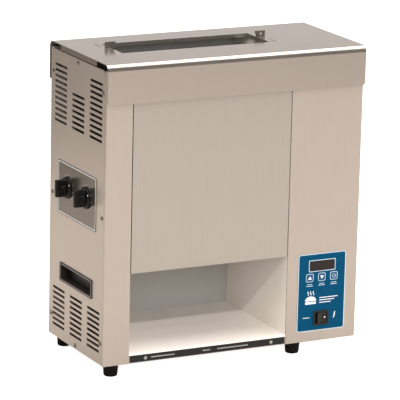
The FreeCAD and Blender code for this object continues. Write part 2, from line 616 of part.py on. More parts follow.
def knob_plate():
    sheet = slab((LEFT - LABEL_THICK, LEFT), around(0, LABEL_HALF_Y), LABEL_Z)
    sheet = soften(sheet, X_AXIS, 1.5)
    holes = [rod("x", (LEFT - 2, LEFT + 1), (side * KNOB_Y, KNOB_Z), CAM_SHAFT_RADIUS + 1.2)
             for side in (-1, 1)]
    return less(sheet, holes)


# ---- controls ----------------------------------------------------------------------------
def control_overlay():
    sheet = slab(around(CONTROL_X, OVERLAY_HALF_X), (FRONT - OVERLAY, FRONT), OVERLAY_Z)
    sheet = soften(sheet, Y_AXIS, 5.0)
    through = (FRONT - 2, FRONT + 1)
    window = slab(around(CONTROL_X, DISPLAY_HALF_X), through, around(DISPLAY_Z, DISPLAY_HALF_Z))
    switch = slab(around(CONTROL_X, SWITCH_HALF_X), through, around(SWITCH_Z, SWITCH_HALF_Z))
    keys = [soften(slab(around(x, KEY_HOLE_HALF), through, around(KEY_Z, KEY_HOLE_HALF)), Y_AXIS, 3.2)
            for x in KEY_X]
    return less(sheet, [window, switch] + keys)


def display_lens():
    lens = slab(around(CONTROL_X, DISPLAY_HALF_X - 0.1), (FRONT - 1.2, FRONT),
                around(DISPLAY_Z, DISPLAY_HALF_Z - 0.1))
    return soften(lens, Y_AXIS, 1.0)


def key_button(x):
    """Cap through the overlay, a flange behind the panel, and a short plunger."""
    back = FRONT + 2.1
    cap = slab(around(x, KEY_HALF), (FRONT - 1.5, back), around(KEY_Z, KEY_HALF))
    cap = soften(cap, Y_AXIS, 3.0)
    flange = slab(around(x, KEY_HALF + 1.7), (back, back + 1.2), around(KEY_Z, KEY_HALF + 1.7))
    plunger = rod("y", (back + 1.2, back + 2.3), (x, KEY_Z), 3.0)
    return joined([cap, flange, plunger])


def switch_housing():
    bezel = slab(around(CONTROL_X, SWITCH_HALF_X + 2), (FRONT - 3.0, FRONT - OVERLAY),
                 around(SWITCH_Z, SWITCH_HALF_Z + 2))
    bezel = soften(bezel, Y_AXIS, 1.5)
    body = slab(around(CONTROL_X, SWITCH_HALF_X - 0.4), (FRONT - 1.5, FRONT + 24),
                around(SWITCH_Z, SWITCH_HALF_Z - 0.4))
    well = slab(around(CONTROL_X, SWITCH_HALF_X - 2), (FRONT - 4, FRONT + 10),
                around(SWITCH_Z, SWITCH_HALF_Z - 2))
    tabs = [slab(around(CONTROL_X + x, 3.2), (FRONT + 24, FRONT + 33), around(SWITCH_Z + z, 0.4))
            for x in (-8, 8) for z in (-6, 6)]
    return joined([bezel, body] + tabs).cut(well)


def power_rocker():
    """Rocker, upright pivot, hollow V face; it rests with the right half pressed in."""
    pivot_y = FRONT + 5.0
    outline = [(-11.0, -9.0), (0.0, -7.0), (11.0, -9.0), (9.0, 0.0), (3.0, 3.0), (-3.0, 3.0), (-9.0, 0.0)]
    corners = [(CONTROL_X + x, pivot_y + y) for x, y in outline]
    rocker = prism_z(corners, around(SWITCH_Z, SWITCH_HALF_Z - 2.5))
    rocker.rotate(V(CONTROL_X, pivot_y, 0), Z_AXIS, 10.0)
    return rocker


def control_board():
    board = slab((150, 253), (FRONT + 8, FRONT + 9.6), (126, 204))
    posts = [rod("y", (INNER_FRONT, FRONT + 8), (x, z), 3.0) for x in (155, 248) for z in (131, 199)]
    display = slab(around(CONTROL_X, 25), (FRONT + 0.4, FRONT + 8), around(DISPLAY_Z, 8.5))
    switches = [slab(around(x, 3.2), (FRONT + 6, FRONT + 8), around(KEY_Z, 3.2)) for x in KEY_X]
    chips = [slab(around(x, 9), (FRONT + 9.6, FRONT + 14), around(145, 9)) for x in (170, 200, 230)]
    return joined([board, display] + posts + switches + chips)


def transformer():
    core = slab((150, 205), (50, 90), (BASE_Z + SHEET, BASE_Z + 52))
    coil = slab((158, 197), (38, 102), (BASE_Z + 10, BASE_Z + 44))
    return joined([core, soften(coil, Z_AXIS, 8.0)])


def terminal_block():
    block = slab((225, 262), (60, 110), (BASE_Z + SHEET, BASE_Z + 20))
    wells = [rod("z", (BASE_Z + 12, BASE_Z + 22), (x, 65 + 10 * row), 3.2)
             for row in range(5) for x in (235, 252)]
    return less(block, wells)


def heater_relay():
    block = slab((222, 266), (-60, -2), (BASE_Z + SHEET, BASE_Z + 28))
    fins = [slab((222 + 5.5 * row, 224.5 + 5.5 * row), (-62, 0), (BASE_Z + 28, BASE_Z + 44))
            for row in range(8)]
    return joined([block] + fins)


def limit_thermostat():
    disc = rod("x", (RIGHT_SEAM + SHEET, RIGHT_SEAM + 12), (60, 460), 14.0)
    tabs = [slab((RIGHT_SEAM + 12, RIGHT_SEAM + 20), around(60, 3.2), around(460 + z, 0.4)) for z in (-7, 7)]
    return joined([disc] + tabs)


def fan_frame():
    y_span = (INNER_BACK - 25, INNER_BACK - 0.1)
    block = slab(around(FAN_X, FAN_HALF), y_span, around(FAN_Z, FAN_HALF))
    block = soften(block, Y_AXIS, 4.0)
    bore = rod("y", (y_span[0] - 1, y_span[1] + 1), (FAN_X, FAN_Z), FAN_BORE)
    ring = block.cut(bore)
    strut_y = (y_span[1] - 3, y_span[1])
    hub = rod("y", strut_y, (FAN_X, FAN_Z), 17.0)
    arm = slab((FAN_X, FAN_X + FAN_BORE + 1), strut_y, around(FAN_Z, 2.5))
    arms = []
    for index in range(3):
        turned = arm.copy()
        turned.rotate(V(FAN_X, 0, FAN_Z), Y_AXIS, 30 + 120 * index)
        arms.append(turned)
    return joined([ring, hub] + arms)


def fan_impeller():
    y_mid = INNER_BACK - 14.5
    hub = rod("y", around(y_mid, 8.5), (FAN_X, FAN_Z), 16.5)
    blade = slab((FAN_X + 14, FAN_X + FAN_BORE - 2), around(y_mid, 9.5), around(FAN_Z, 0.9))
    blade.rotate(V(FAN_X, y_mid, FAN_Z), X_AXIS, 40)
    blades = []
    for index in range(7):
        turned = blade.copy()
        turned.rotate(V(FAN_X, y_mid, FAN_Z), Y_AXIS, 360.0 * index / 7)
        blades.append(turned)
    return joined([hub] + blades)


def cord_inlet():
    flange = rod("y", (BACK, BACK + 4), (GLAND_X, GLAND_Z), 12.0)
    dome = rod("y", (BACK + 4, BACK + LID_GAP), (GLAND_X, GLAND_Z), 9.5)
    neck = rod("y", (INNER_BACK - 8, BACK), (GLAND_X, GLAND_Z), GLAND_HOLE - 0.1)
    bore = rod("y", (INNER_BACK - 9, BACK + 10), (GLAND_X, GLAND_Z), CORD_BORE)
    return joined([flange, dome, neck]).cut(bore)


def trim_strip():
    x_span = (LEFT_SEAM + 2.5, RIGHT_SEAM - 2.0)
    strip = slab(x_span, (INNER_FRONT - 1.0, INNER_FRONT), (BASE_Z + 1.5, BASE_Z + 15.5))
    holes = [rod("y", (FRONT - 1, FRONT + 3), (x, RIVET_Z), RIVET_RADIUS + FIT) for x in RIVET_X]
    return less(strip, holes)


def trim_rivets():
    rivets = []
    for x in RIVET_X:
        head = rod("y", (INNER_FRONT - 2.2, INNER_FRONT - 1.05), (x, RIVET_Z), 3.4)
        shank = rod("y", (INNER_FRONT - 1.5, INNER_FRONT + 5), (x, RIVET_Z), RIVET_RADIUS)
        rivets.append(joined([head, shank]))
    return Part.makeCompound(rivets)


def all_nodes():
    nodes = {
        "base_pan": base_pan(),
        "left_divider": left_divider(),
        "right_divider": right_divider(),
        "left_front_post": left_front_post(),
        "control_front_panel": control_front_panel(),
        "left_end_panel": left_end_panel(),
        "right_end_panel": mirrored(end_panel()),
        "rear_panel": rear_panel(),
        "landing_floor": landing_floor(),
        "left_handle_pocket": handle_pocket(),
        "right_handle_pocket": mirrored(handle_pocket()),
        "foot_screws": foot_screws(),
        "panel_screws": panel_screws(),
        "top_cover": top_cover(),
        "bun_divider": bun_divider(),
        "front_cover": front_cover(),
        "heated_platen": heated_platen(),
        "platen_heaters": platen_heaters(),
        "platen_brackets": platen_brackets(),
        "release_sheets": release_sheets(),
        "front_conveyor_frame": conveyor_frame(FRONT_SHAFT_Y, -KNOB_Y + FOLLOWER_GAP),
        "rear_conveyor_frame": conveyor_frame(REAR_SHAFT_Y, KNOB_Y - FOLLOWER_GAP),
        "front_belt": belt(FRONT_SHAFT_Y),
        "rear_belt": belt(REAR_SHAFT_Y),
        "front_drive_shaft": drive_shaft(FRONT_SHAFT_Y),
        "rear_drive_shaft": drive_shaft(REAR_SHAFT_Y),
        "front_drive_gear": drive_gear(FRONT_SHAFT_Y),
        "rear_drive_gear": drive_gear(REAR_SHAFT_Y),
        "front_idler_shaft": idler_shaft(FRONT_SHAFT_Y),
        "rear_idler_shaft": idler_shaft(REAR_SHAFT_Y),
        "shaft_bearings": shaft_bearings(),
        "motor_gear": motor_gear(),
        "idler_gear": drive_gear(IDLER_GEAR_Y, IDLER_RADIUS + RUN),
        "gearmotor": gearmotor(),
        "front_knob": compression_knob(-KNOB_Y),
        "rear_knob": compression_knob(KNOB_Y),
        "front_cam_shaft": cam_shaft(-KNOB_Y, 0.0),
        "rear_cam_shaft": cam_shaft(KNOB_Y, 180.0),
        "knob_plate": knob_plate(),
        "control_overlay": control_overlay(),
        "display_lens": display_lens(),
        "switch_housing": switch_housing(),
        "power_rocker": power_rocker(),
        "control_board": control_board(),
        "transformer": transformer(),
        "terminal_block": terminal_block(),
        "heater_relay": heater_relay(),
        "limit_thermostat": limit_thermostat(),
        "fan_frame": fan_frame(),
        "fan_impeller": fan_impeller(),
        "cord_inlet": cord_inlet(),
        "trim_strip": trim_strip(),
        "trim_rivets": trim_rivets(),
    }
    for name, place in FEET.items():
        nodes[name] = foot(place)
    for name, x in zip(("key_up", "key_down", "key_select"), KEY_X):
        nodes[name] = key_button(x)
    return nodes


def export():
    os.makedirs("parts", exist_ok=True)
    right_reach = RIGHT + SCREW_HEAD
    shift = V(-(KNOB_TIP + right_reach) / 2, 0, 0)
    nodes = all_nodes()
    for name, shape in nodes.items():
        shape.translate(shift)
        shape.exportStep("parts/" + name + ".step")
        box = shape.BoundBox
        size = "%.1f x %.1f x %.1f" % (box.XLength, box.YLength, box.ZLength)
        print("%-24s solids %2d valid %s volume %10.1f  %s" % (
            name, len(shape.Solids), shape.isValid(), shape.Volume, size))
    print("nodes", len(nodes), "shift", shift.x)


export()
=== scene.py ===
# %% [markdown]
# # A countertop contact toaster, dressed for its picture
#
# The cabinet, its shafts, gears and covers arrive as finished solids. This lesson gives them their
# looks: brushed stainless sheet, moulded black plastic, a printed control film, wire belts.
# Everything is in metres, +Z is up, and the front of the machine faces -Y.

# %% Load the frame
import json
import math

import bmesh
import bpy
from mathutils import Matrix, Vector


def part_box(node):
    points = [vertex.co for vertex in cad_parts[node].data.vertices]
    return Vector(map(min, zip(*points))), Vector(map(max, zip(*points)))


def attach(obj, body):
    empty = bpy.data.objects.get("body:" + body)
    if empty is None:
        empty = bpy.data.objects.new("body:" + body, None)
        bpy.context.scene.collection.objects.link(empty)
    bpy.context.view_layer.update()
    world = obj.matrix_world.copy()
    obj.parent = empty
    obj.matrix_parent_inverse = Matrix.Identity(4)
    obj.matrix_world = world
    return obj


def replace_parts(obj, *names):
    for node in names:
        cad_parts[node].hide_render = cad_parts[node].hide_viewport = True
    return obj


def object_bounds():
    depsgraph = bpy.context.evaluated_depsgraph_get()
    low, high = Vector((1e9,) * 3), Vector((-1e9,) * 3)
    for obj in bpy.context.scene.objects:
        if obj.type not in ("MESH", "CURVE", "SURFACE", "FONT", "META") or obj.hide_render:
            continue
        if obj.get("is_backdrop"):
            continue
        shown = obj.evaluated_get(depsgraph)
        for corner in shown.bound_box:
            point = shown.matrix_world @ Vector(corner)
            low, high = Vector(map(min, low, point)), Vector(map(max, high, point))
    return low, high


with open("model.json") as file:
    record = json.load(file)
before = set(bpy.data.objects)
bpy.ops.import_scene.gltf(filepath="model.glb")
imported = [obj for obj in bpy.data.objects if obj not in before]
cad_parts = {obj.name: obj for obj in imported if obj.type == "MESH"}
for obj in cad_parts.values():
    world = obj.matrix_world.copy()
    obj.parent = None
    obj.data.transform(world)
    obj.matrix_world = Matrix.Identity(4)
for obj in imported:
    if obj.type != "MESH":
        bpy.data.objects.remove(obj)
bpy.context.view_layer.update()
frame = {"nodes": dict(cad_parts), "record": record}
MM = 0.001
scene = bpy.context.scene


# %% [markdown]
# ## Colour and nodes
#
# Colours are easiest to judge as the hex values that a screen shows, but a shader works with linear
# light, so one function turns one into the other. Node trees are long to write by hand; one small
# function adds a node, sets what it needs and links it, and every tree below is made with it.

# %% Two small helpers
A_COLOUR, B_COLOUR, MIXED = 6, 7, 2      # the colour sockets of a Mix node set to colours


def linear(hex_colour):
    """sRGB hex, such as "#C8B8A8", as linear red, green, blue and alpha."""
    channels = [int(hex_colour[i:i + 2], 16) / 255 for i in (1, 3, 5)]
    bent = [c / 12.92 if c <= 0.04045 else ((c + 0.055) / 1.055) ** 2.4 for c in channels]
    return (*bent, 1.0)


def add(tree, kind, values=None, links=None, **settings):
    """New node: settings are its own properties, values its inputs, links where inputs come from."""
    node = tree.nodes.new(kind)
    for name, value in settings.items():
        setattr(node, name, value)
    for name, value in (values or {}).items():
        node.inputs[name].default_value = value
    for name, source in (links or {}).items():
        tree.links.new(source, node.inputs[name])
    return node


print("front strip colour in linear light", [round(c, 3) for c in linear("#CDBBAB")])

# %% [markdown]
# ## Camera
#
# A long lens from about six metres keeps the upright edges of the cabinet nearly parallel, as in
# a catalogue picture. The camera is placed by two angles and a distance round an aim point on the
# machine's axis, which is easier to reason about than three coordinates. The small roll tips the
# picture as a hand-held frame would.

# %% Camera
AIM = Vector((0.0020, 0.0, 0.3041))
AZIMUTH = math.radians(-26.99)
ELEVATION = math.radians(14.16)
DISTANCE = 6.055
ROLL = math.radians(1.33)
LENS = 273.3

toward_camera = Vector((
    math.sin(AZIMUTH) * math.cos(ELEVATION),
    -math.cos(AZIMUTH) * math.cos(ELEVATION),
    math.sin(ELEVATION),
))
camera = bpy.data.objects.new("camera", bpy.data.cameras.new("camera"))
camera.data.lens = LENS
camera.data.sensor_width = 36.0
camera.data.clip_end = 100.0
look = (-toward_camera).to_track_quat("-Z", "Y").to_matrix() @ Matrix.Rotation(ROLL, 3, "Z")
camera.matrix_world = Matrix.Translation(AIM + toward_camera * DISTANCE) @ look.to_4x4()
scene.collection.objects.link(camera)
scene.camera = camera
scene.view_settings.view_transform = "Standard"
print("camera at", [round(v, 3) for v in camera.location])

# %% [markdown]
# ## Floor, surroundings and light
#
# Brushed steel has hardly any colour of its own: it shows the room. So the room is designed for it.
# A wide soft light overhead gives the bright line along the lid's bend, a band of dimmer wall at
# eye height gives the dark line under it, and a pale floor lights the upright panels from below. A
# small hard lamp from the front left throws the slanted shadow in the landing bay. The surroundings
# are a short ramp on the direction of a ray, and the camera itself sees plain white.

# %% Floor
FLOOR_SIZE = 60.0
floor_mesh = bpy.data.meshes.new("studio_floor")
half = FLOOR_SIZE / 2
floor_mesh.from_pydata([(-half, -half, 0), (half, -half, 0), (half, half, 0), (-half, half, 0)], [],
                       [(0, 1, 2, 3)])
floor = bpy.data.objects.new("studio_floor", floor_mesh)
scene.collection.objects.link(floor)
paper = bpy.data.materials.new("white_paper_sweep")
paper.use_nodes = True
tree = paper.node_tree
tree.nodes.clear()
shade = add(tree, "ShaderNodeBsdfDiffuse", {"Color": linear("#D9D7D5")})
glow = add(tree, "ShaderNodeEmission", {"Color": linear("#FFFFFF"), "Strength": 0.9})
both = add(tree, "ShaderNodeAddShader")
tree.links.new(shade.outputs[0], both.inputs[0])
tree.links.new(glow.outputs[0], both.inputs[1])
place = add(tree, "ShaderNodeNewGeometry")
split = add(tree, "ShaderNodeSeparateXYZ", links={"Vector": place.outputs["Position"]})
# Painted light: what the steel sees of the floor is painted lighter and darker by how far behind the machine
# it lies, standing for the light falling on the floor near the machine and fading away from it.
behind = add(tree, "ShaderNodeMapRange", {"From Min": 0.0, "From Max": 2.5}, {"Value": split.outputs["Y"]})
painted_falloff = add(tree, "ShaderNodeValToRGB", links={"Fac": behind.outputs["Result"]})
painted_falloff.color_ramp.elements[0].color = linear("#B9B4AF")
painted_falloff.color_ramp.elements[1].color = linear("#69645F")
for position, colour in ((0.30, "#C6C1BB"), (0.48, "#D9D3CD"), (0.62, "#9C968F")):
    painted_falloff.color_ramp.elements.new(position).color = linear(colour)
away = add(tree, "ShaderNodeBsdfDiffuse", links={"Color": painted_falloff.outputs["Color"]})
path = add(tree, "ShaderNodeLightPath")
choose = add(tree, "ShaderNodeMixShader", links={"Fac": path.outputs["Is Camera Ray"]})
tree.links.new(away.outputs[0], choose.inputs[1])
tree.links.new(both.outputs[0], choose.inputs[2])
add(tree, "ShaderNodeOutputMaterial", links={"Surface": choose.outputs[0]})
floor_mesh.materials.append(paper)
floor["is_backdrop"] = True

# %% Surroundings
world = bpy.data.worlds.new("studio")
scene.world = world
world.use_nodes = True
tree = world.node_tree
tree.nodes.clear()
direction = add(tree, "ShaderNodeTexCoord")
split = add(tree, "ShaderNodeSeparateXYZ", links={"Vector": direction.outputs["Generated"]})
height = add(tree, "ShaderNodeValToRGB", links={"Fac": split.outputs["Z"]})
ramp = height.color_ramp
ramp.elements[0].position, ramp.elements[0].color = 0.0, linear("#1E1B19")
ramp.elements[1].position, ramp.elements[1].color = 0.90, linear("#F6F3F0")
for position, colour in ((0.70, "#2A2725"), (0.80, "#C9C5C1")):
    ramp.elements.new(position).color = linear(colour)
behind = add(tree, "ShaderNodeMapRange", {"From Min": -0.2, "From Max": 0.5}, {"Value": split.outputs["Y"]})
wall = add(tree, "ShaderNodeMix", {B_COLOUR: linear("#DEDAD6")},
           {0: behind.outputs["Result"], A_COLOUR: height.outputs["Color"]}, data_type="RGBA")
side = add(tree, "ShaderNodeMapRange", {"From Min": -1.0, "From Max": 0.6, "To Min": 0.56, "To Max": 0.92},
           {"Value": split.outputs["X"]})
room = add(tree, "ShaderNodeBackground", links={"Color": wall.outputs[MIXED],
                                                "Strength": side.outputs["Result"]})
plain = add(tree, "ShaderNodeBackground", {"Color": linear("#FFFFFF"), "Strength": 1.0})
dome = add(tree, "ShaderNodeBackground", {"Color": linear("#F4F0EC"), "Strength": 0.85})
path = add(tree, "ShaderNodeLightPath")
matt = add(tree, "ShaderNodeMixShader", links={"Fac": path.outputs["Is Diffuse Ray"]})
tree.links.new(room.outputs[0], matt.inputs[1])
tree.links.new(dome.outputs[0], matt.inputs[2])
choose = add(tree, "ShaderNodeMixShader", links={"Fac": path.outputs["Is Camera Ray"]})
tree.links.new(matt.outputs[0], choose.inputs[1])
tree.links.new(plain.outputs[0], choose.inputs[2])
add(tree, "ShaderNodeOutputWorld", links={"Surface": choose.outputs[0]})


# %% Lamps
def soft_lamp(name, place, target, width, depth, power, tint, mirrored=True):
    """Rectangular softbox at a place, turned to face a target."""
    lamp = bpy.data.lights.new(name, "AREA")
    lamp.shape, lamp.size, lamp.size_y, lamp.energy = "RECTANGLE", width, depth, power
    lamp.color = linear(tint)[:3]
    holder = bpy.data.objects.new(name, lamp)
    aim = (Vector(target) - Vector(place)).to_track_quat("-Z", "Y").to_matrix().to_4x4()
    holder.matrix_world = Matrix.Translation(Vector(place)) @ aim
    holder.visible_glossy = mirrored
    scene.collection.objects.link(holder)
    return holder


soft_lamp("overhead_softbox", (0.2, -0.25, 2.7), (0.2, -0.25, 0.4), 4.0, 2.4, 95.0, "#FFFCF8")
soft_lamp("front_fill", (-0.45, -3.5, 1.35), (0, 0, 0.25), 1.6, 1.2, 60.0, "#FFFDFA", mirrored=False)
soft_lamp("right_fill", (3.2, -2.2, 1.3), (0, 0, 0.3), 1.8, 2.0, 16.0, "#FFF8F2")

BAY_SHADOW_RISE = math.radians(38.0)     # how steeply the key falls
BAY_SHADOW_SIDE = math.radians(-24.0)    # how far from the front, to the left, it stands
key = bpy.data.lights.new("key_lamp", "SUN")
key.energy, key.angle, key.color = 0.85, math.radians(1.6), linear("#FFF9F2")[:3]
key_holder = bpy.data.objects.new("key_lamp", key)
from_key = Vector((math.sin(BAY_SHADOW_SIDE) * math.cos(BAY_SHADOW_RISE),
                   -math.cos(BAY_SHADOW_SIDE) * math.cos(BAY_SHADOW_RISE), math.sin(BAY_SHADOW_RISE)))
key_holder.matrix_world = (-from_key).to_track_quat("-Z", "Y").to_matrix().to_4x4()
scene.collection.objects.link(key_holder)


# %% [markdown]
# ## Brushed stainless sheet
#
# The cabinet is 304 stainless sheet with a brushed finish: an abrasive belt leaves fine parallel
# lines, so the surface is smooth along the grain and ragged across it. An image of brushed metal
# would tile and blur; a noise pattern squeezed hard along one axis gives endless lines at a real
# width. The true lines are about 0.2 mm, too fine to show, so they are drawn 1.6 mm wide and
# faint. A second, broad noise stands for the cloudiness that handling and cleaning leave. The base
# colour is warm because the light in the kitchen is.

# %% Steel, metal and plastic finishes
def start(name, colour, roughness, metallic=0.0, **sockets):
    """Material with one Principled shader; returns the material, its tree and the shader."""
    material = bpy.data.materials.new(name)
    material.use_nodes = True
    material.diffuse_color = linear(colour)
    tree = material.node_tree
    shader = tree.nodes["Principled BSDF"]
    shader.inputs["Base Color"].default_value = linear(colour)
    shader.inputs["Roughness"].default_value = roughness
    shader.inputs["Metallic"].default_value = metallic
    for socket, value in sockets.items():
        shader.inputs[socket.replace("_", " ")].default_value = value
    return material, tree, shader


def grain_pattern(tree, feature_mm, detail=2.0, stretch=(1, 1, 1)):
    """Noise whose features are feature_mm wide, each axis stretched by its factor."""
    place = add(tree, "ShaderNodeTexCoord")
    scale = [1000.0 / (feature_mm * s) for s in stretch]
    squeeze = add(tree, "ShaderNodeMapping", {"Scale": scale}, {"Vector": place.outputs["Object"]})
    noise = add(tree, "ShaderNodeTexNoise", {"Scale": 1.0, "Detail": detail, "Roughness": 0.55},
                {"Vector": squeeze.outputs["Vector"]})
    return noise.outputs["Fac"]




def vary(tree, shader, pattern, dark, light, low, high):
    """Pattern drives the colour between two tints and the roughness between two values."""
    colour = add(tree, "ShaderNodeMix", links={0: pattern}, data_type="RGBA")
    colour.inputs[A_COLOUR].default_value = linear(dark)
    colour.inputs[B_COLOUR].default_value = linear(light)
    tree.links.new(colour.outputs[MIXED], shader.inputs["Base Color"])
    rough = add(tree, "ShaderNodeMapRange", {"From Min": 0.25, "From Max": 0.75, "To Min": low,
                                             "To Max": high},
                {"Value": pattern})
    tree.links.new(rough.outputs["Result"], shader.inputs["Roughness"])
    return rough


def relief(tree, shader, pattern, depth_mm, strength=1.0):
    """Bump of a real depth."""
    bump = add(tree, "ShaderNodeBump", {"Strength": strength, "Distance": depth_mm * MM}, {"Height": pattern})
    tree.links.new(bump.outputs["Normal"], shader.inputs["Normal"])


LINE_MM = 1.6            # brushing lines, drawn wider than the real 0.2 mm
LINE_LENGTH = 70         # how many widths long a line is
CLOUD_MM = 85.0          # handling marks


def brushed_sheet(name, dark, light, grain, low=0.30, high=0.42, metallic=0.72):
    """Stainless sheet brushed along one axis."""
    material, tree, shader = start(name, light, low, metallic)
    stretch = [LINE_LENGTH if axis == grain else 1 for axis in "xyz"]
    lines = grain_pattern(tree, LINE_MM, 3.0, stretch)
    clouds = grain_pattern(tree, CLOUD_MM, 2.0)
    blend = add(tree, "ShaderNodeMath", {1: 0.35}, {0: clouds}, operation="MULTIPLY")
    mixed = add(tree, "ShaderNodeMath", {1: 0.65, 2: 0.0}, {0: lines, 2: blend.outputs[0]},
                operation="MULTIPLY_ADD")
    vary(tree, shader, mixed.outputs[0], dark, light, low, high)
    relief(tree, shader, lines, 0.012, 0.5)
    return material


def moulded(name, colour, lighter, roughness, grain_mm=0.9, depth_mm=0.03, **sockets):
    """Injection-moulded plastic or rubber with a spark-eroded grain."""
    material, tree, shader = start(name, colour, roughness, **sockets)
    grain = grain_pattern(tree, grain_mm, 2.0)
    vary(tree, shader, grain, colour, lighter, roughness - 0.05, roughness + 0.08)
    relief(tree, shader, grain, depth_mm)
    return material


def machined(name, dark, light, roughness, line_mm=0.8, axis="x", metallic=1.0):
    """Turned or ground metal: fine rings across its axis."""
    material, tree, shader = start(name, light, roughness, metallic)
    stretch = [1 if letter == axis else 25 for letter in "xyz"]
    lines = grain_pattern(tree, line_mm, 2.0, stretch)
    vary(tree, shader, lines, dark, light, roughness - 0.06, roughness + 0.08)
    relief(tree, shader, lines, 0.01, 0.5)
    return material


# %% [markdown]
# ## One finish for each material of the machine
#
# Each entry is named for what the piece is made of and how. The slots are the record's own, so
# that every solid finds its finish by the slot it was given, and none is left plain.

# %% The finishes
finishes = {
    "cabinet_steel": brushed_sheet("stainless_304_brushed_upright", "#BFB4AB", "#D0C6BD", "z"),
    "lid_steel": brushed_sheet("stainless_304_brushed_cover", "#B5ADA6", "#C4BDB6", "z"),
    "bracket_steel": brushed_sheet("stainless_430_mill_finish", "#67615B", "#857E77", "y", 0.34, 0.5),
    # The wire's brown is partly real heat browning and partly painted shade, darker for the dark inside the
    # machine where the belts show through the slot.
    "belt_wire": machined("stainless_wire_browned_and_shaded", "#4E463E", "#7A7168", 0.36, 0.6),
    "shaft_steel": machined("steel_shaft_ground", "#8B8C8E", "#B4B5B7", 0.26),
    "gear_steel": machined("steel_gear_hobbed", "#77787A", "#9FA0A2", 0.34, 0.7),
    "bearing_bronze": machined("bronze_bush_sintered", "#8A6534", "#B4874A", 0.42, 0.6),
    "heater_sheath": machined("incoloy_sheath_drawn", "#5E5954", "#7D776F", 0.42, 0.9),
    "screw_steel": machined("screw_steel_zinc_plated", "#6E6A65", "#938E88", 0.34, 0.5),
    "rivet_aluminium": machined("rivet_aluminium_drawn", "#B9B8B6", "#E0DFDC", 0.30, 0.5),
    "foot_rubber": moulded("rubber_foot_moulded", "#0B0908", "#13100F", 0.8, 1.2, 0.05,
                           Specular_IOR_Level=0.2),
    "pocket_plastic": moulded("abs_black_textured", "#1D1A19", "#2E2A28", 0.40, 1.0, 0.03),
    "knob_plastic": moulded("phenolic_knob_black", "#070605", "#0E0C0B", 0.42, 0.8, 0.015,
                            Specular_IOR_Level=0.3),
    "switch_plastic": moulded("nylon_switch_black", "#100E0D", "#1C1917", 0.34, 0.8, 0.01),
    "relay_plastic": moulded("relay_case_moulded", "#2B2B2E", "#3C3C40", 0.45),
    "fan_plastic": moulded("fan_pbt_glass_filled", "#1E1E20", "#303033", 0.42, 0.9),
    "motor_paint": moulded("motor_enamel_sprayed", "#3A4148", "#4A525A", 0.38, 1.6, 0.04),
    "display_window": moulded("acrylic_window_smoked", "#131111", "#1B1818", 0.14, 14.0, 0.002,
                              Specular_IOR_Level=0.35),
    "strip_label": moulded("aluminium_strip_anodised_black", "#191A1A", "#242525", 0.42, 1.0, 0.01,
                           Specular_IOR_Level=0.35),
}
print(len(finishes), "finishes so far")

# %% [markdown]
# ## Finishes with a pattern of their own
#
# A few pieces show how they were made: the release sheet is glass cloth in brown PTFE, so it has a
# square weave; the cast plate has a sand-cast skin; the circuit board has copper tracks under green
# resist; the transformer is a stack of thin laminations; the label plate is grey printed film on
# metal. Waves and a brick texture give the regular ones, because they repeat at an exact pitch.

# %% Woven, cast, laminated and printed finishes
def stripe_pattern(tree, pitch_mm, axis):
    """Stripes across one axis, one stripe every pitch_mm."""
    place = add(tree, "ShaderNodeTexCoord")
    wave = add(tree, "ShaderNodeTexWave", {"Scale": 1000.0 / pitch_mm / WAVE_PERIOD, "Distortion": 0.0},
               {"Vector": place.outputs["Object"]}, bands_direction=axis)
    return wave.outputs["Fac"]


WAVE_PERIOD = 20 / math.tau      # a Wave texture at scale 1 repeats every tau / 20
CLOTH_THREAD_MM = 3.2            # real threads are 0.5 mm; wider, so that the weave shows


def glass_cloth(name, dark, light):
    """Glass cloth coated with PTFE: a square weave under a waxy, slightly shiny skin."""
    material, tree, shader = start(name, light, 0.38)
    across, along = stripe_pattern(tree, CLOTH_THREAD_MM, "X"), stripe_pattern(tree, CLOTH_THREAD_MM, "Z")
    weave = add(tree, "ShaderNodeMath", links={0: across, 1: along}, operation="MULTIPLY")
    vary(tree, shader, weave.outputs[0], dark, light, 0.32, 0.46)
    relief(tree, shader, weave.outputs[0], 0.05)
    return material


def cast_metal(name, dark, light):
    """Sand-cast aluminium, milled only where it mates: a soft pebbled skin."""
    material, tree, shader = start(name, light, 0.5, 0.9)
    skin = grain_pattern(tree, 2.4, 4.0)
    vary(tree, shader, skin, dark, light, 0.44, 0.62)
    relief(tree, shader, skin, 0.12)
    return material


def laminated(name, dark, light, sheet_mm, axis):
    """Stack of steel sheets seen from the edge."""
    material, tree, shader = start(name, light, 0.45, 0.6)
    edges = stripe_pattern(tree, sheet_mm, axis)
    vary(tree, shader, edges, dark, light, 0.38, 0.55)
    relief(tree, shader, edges, 0.1)
    return material


def board(name, resist, copper):
    """Green solder resist with the tracks showing through as a lighter net."""
    material, tree, shader = start(name, resist, 0.3)
    place = add(tree, "ShaderNodeTexCoord")
    turn = add(tree, "ShaderNodeMapping", {"Rotation": (math.radians(90), 0, 0),
                                           "Scale": (1000.0, 1000.0, 1000.0)},
               {"Vector": place.outputs["Object"]})
    tracks = add(tree, "ShaderNodeTexBrick", {"Scale": 1.0, "Mortar Size": 0.35, "Brick Width": 11.0,
                 "Row Height": 3.0, "Color1": (0, 0, 0, 1), "Color2": (0, 0, 0, 1), "Mortar": (1, 1, 1, 1)},
                 {"Vector": turn.outputs["Vector"]})
    vary(tree, shader, tracks.outputs["Color"], resist, copper, 0.26, 0.34)
    return material


def printed(name, colour, lighter, roughness, **sockets):
    """Ink on polycarbonate film: even colour, a fine pebble in the film's hard coat."""
    material, tree, shader = start(name, colour, roughness, **sockets)
    pebble = grain_pattern(tree, 1.1, 1.0)
    vary(tree, shader, pebble, colour, lighter, roughness - 0.03, roughness + 0.05)
    relief(tree, shader, pebble, 0.006)
    return material


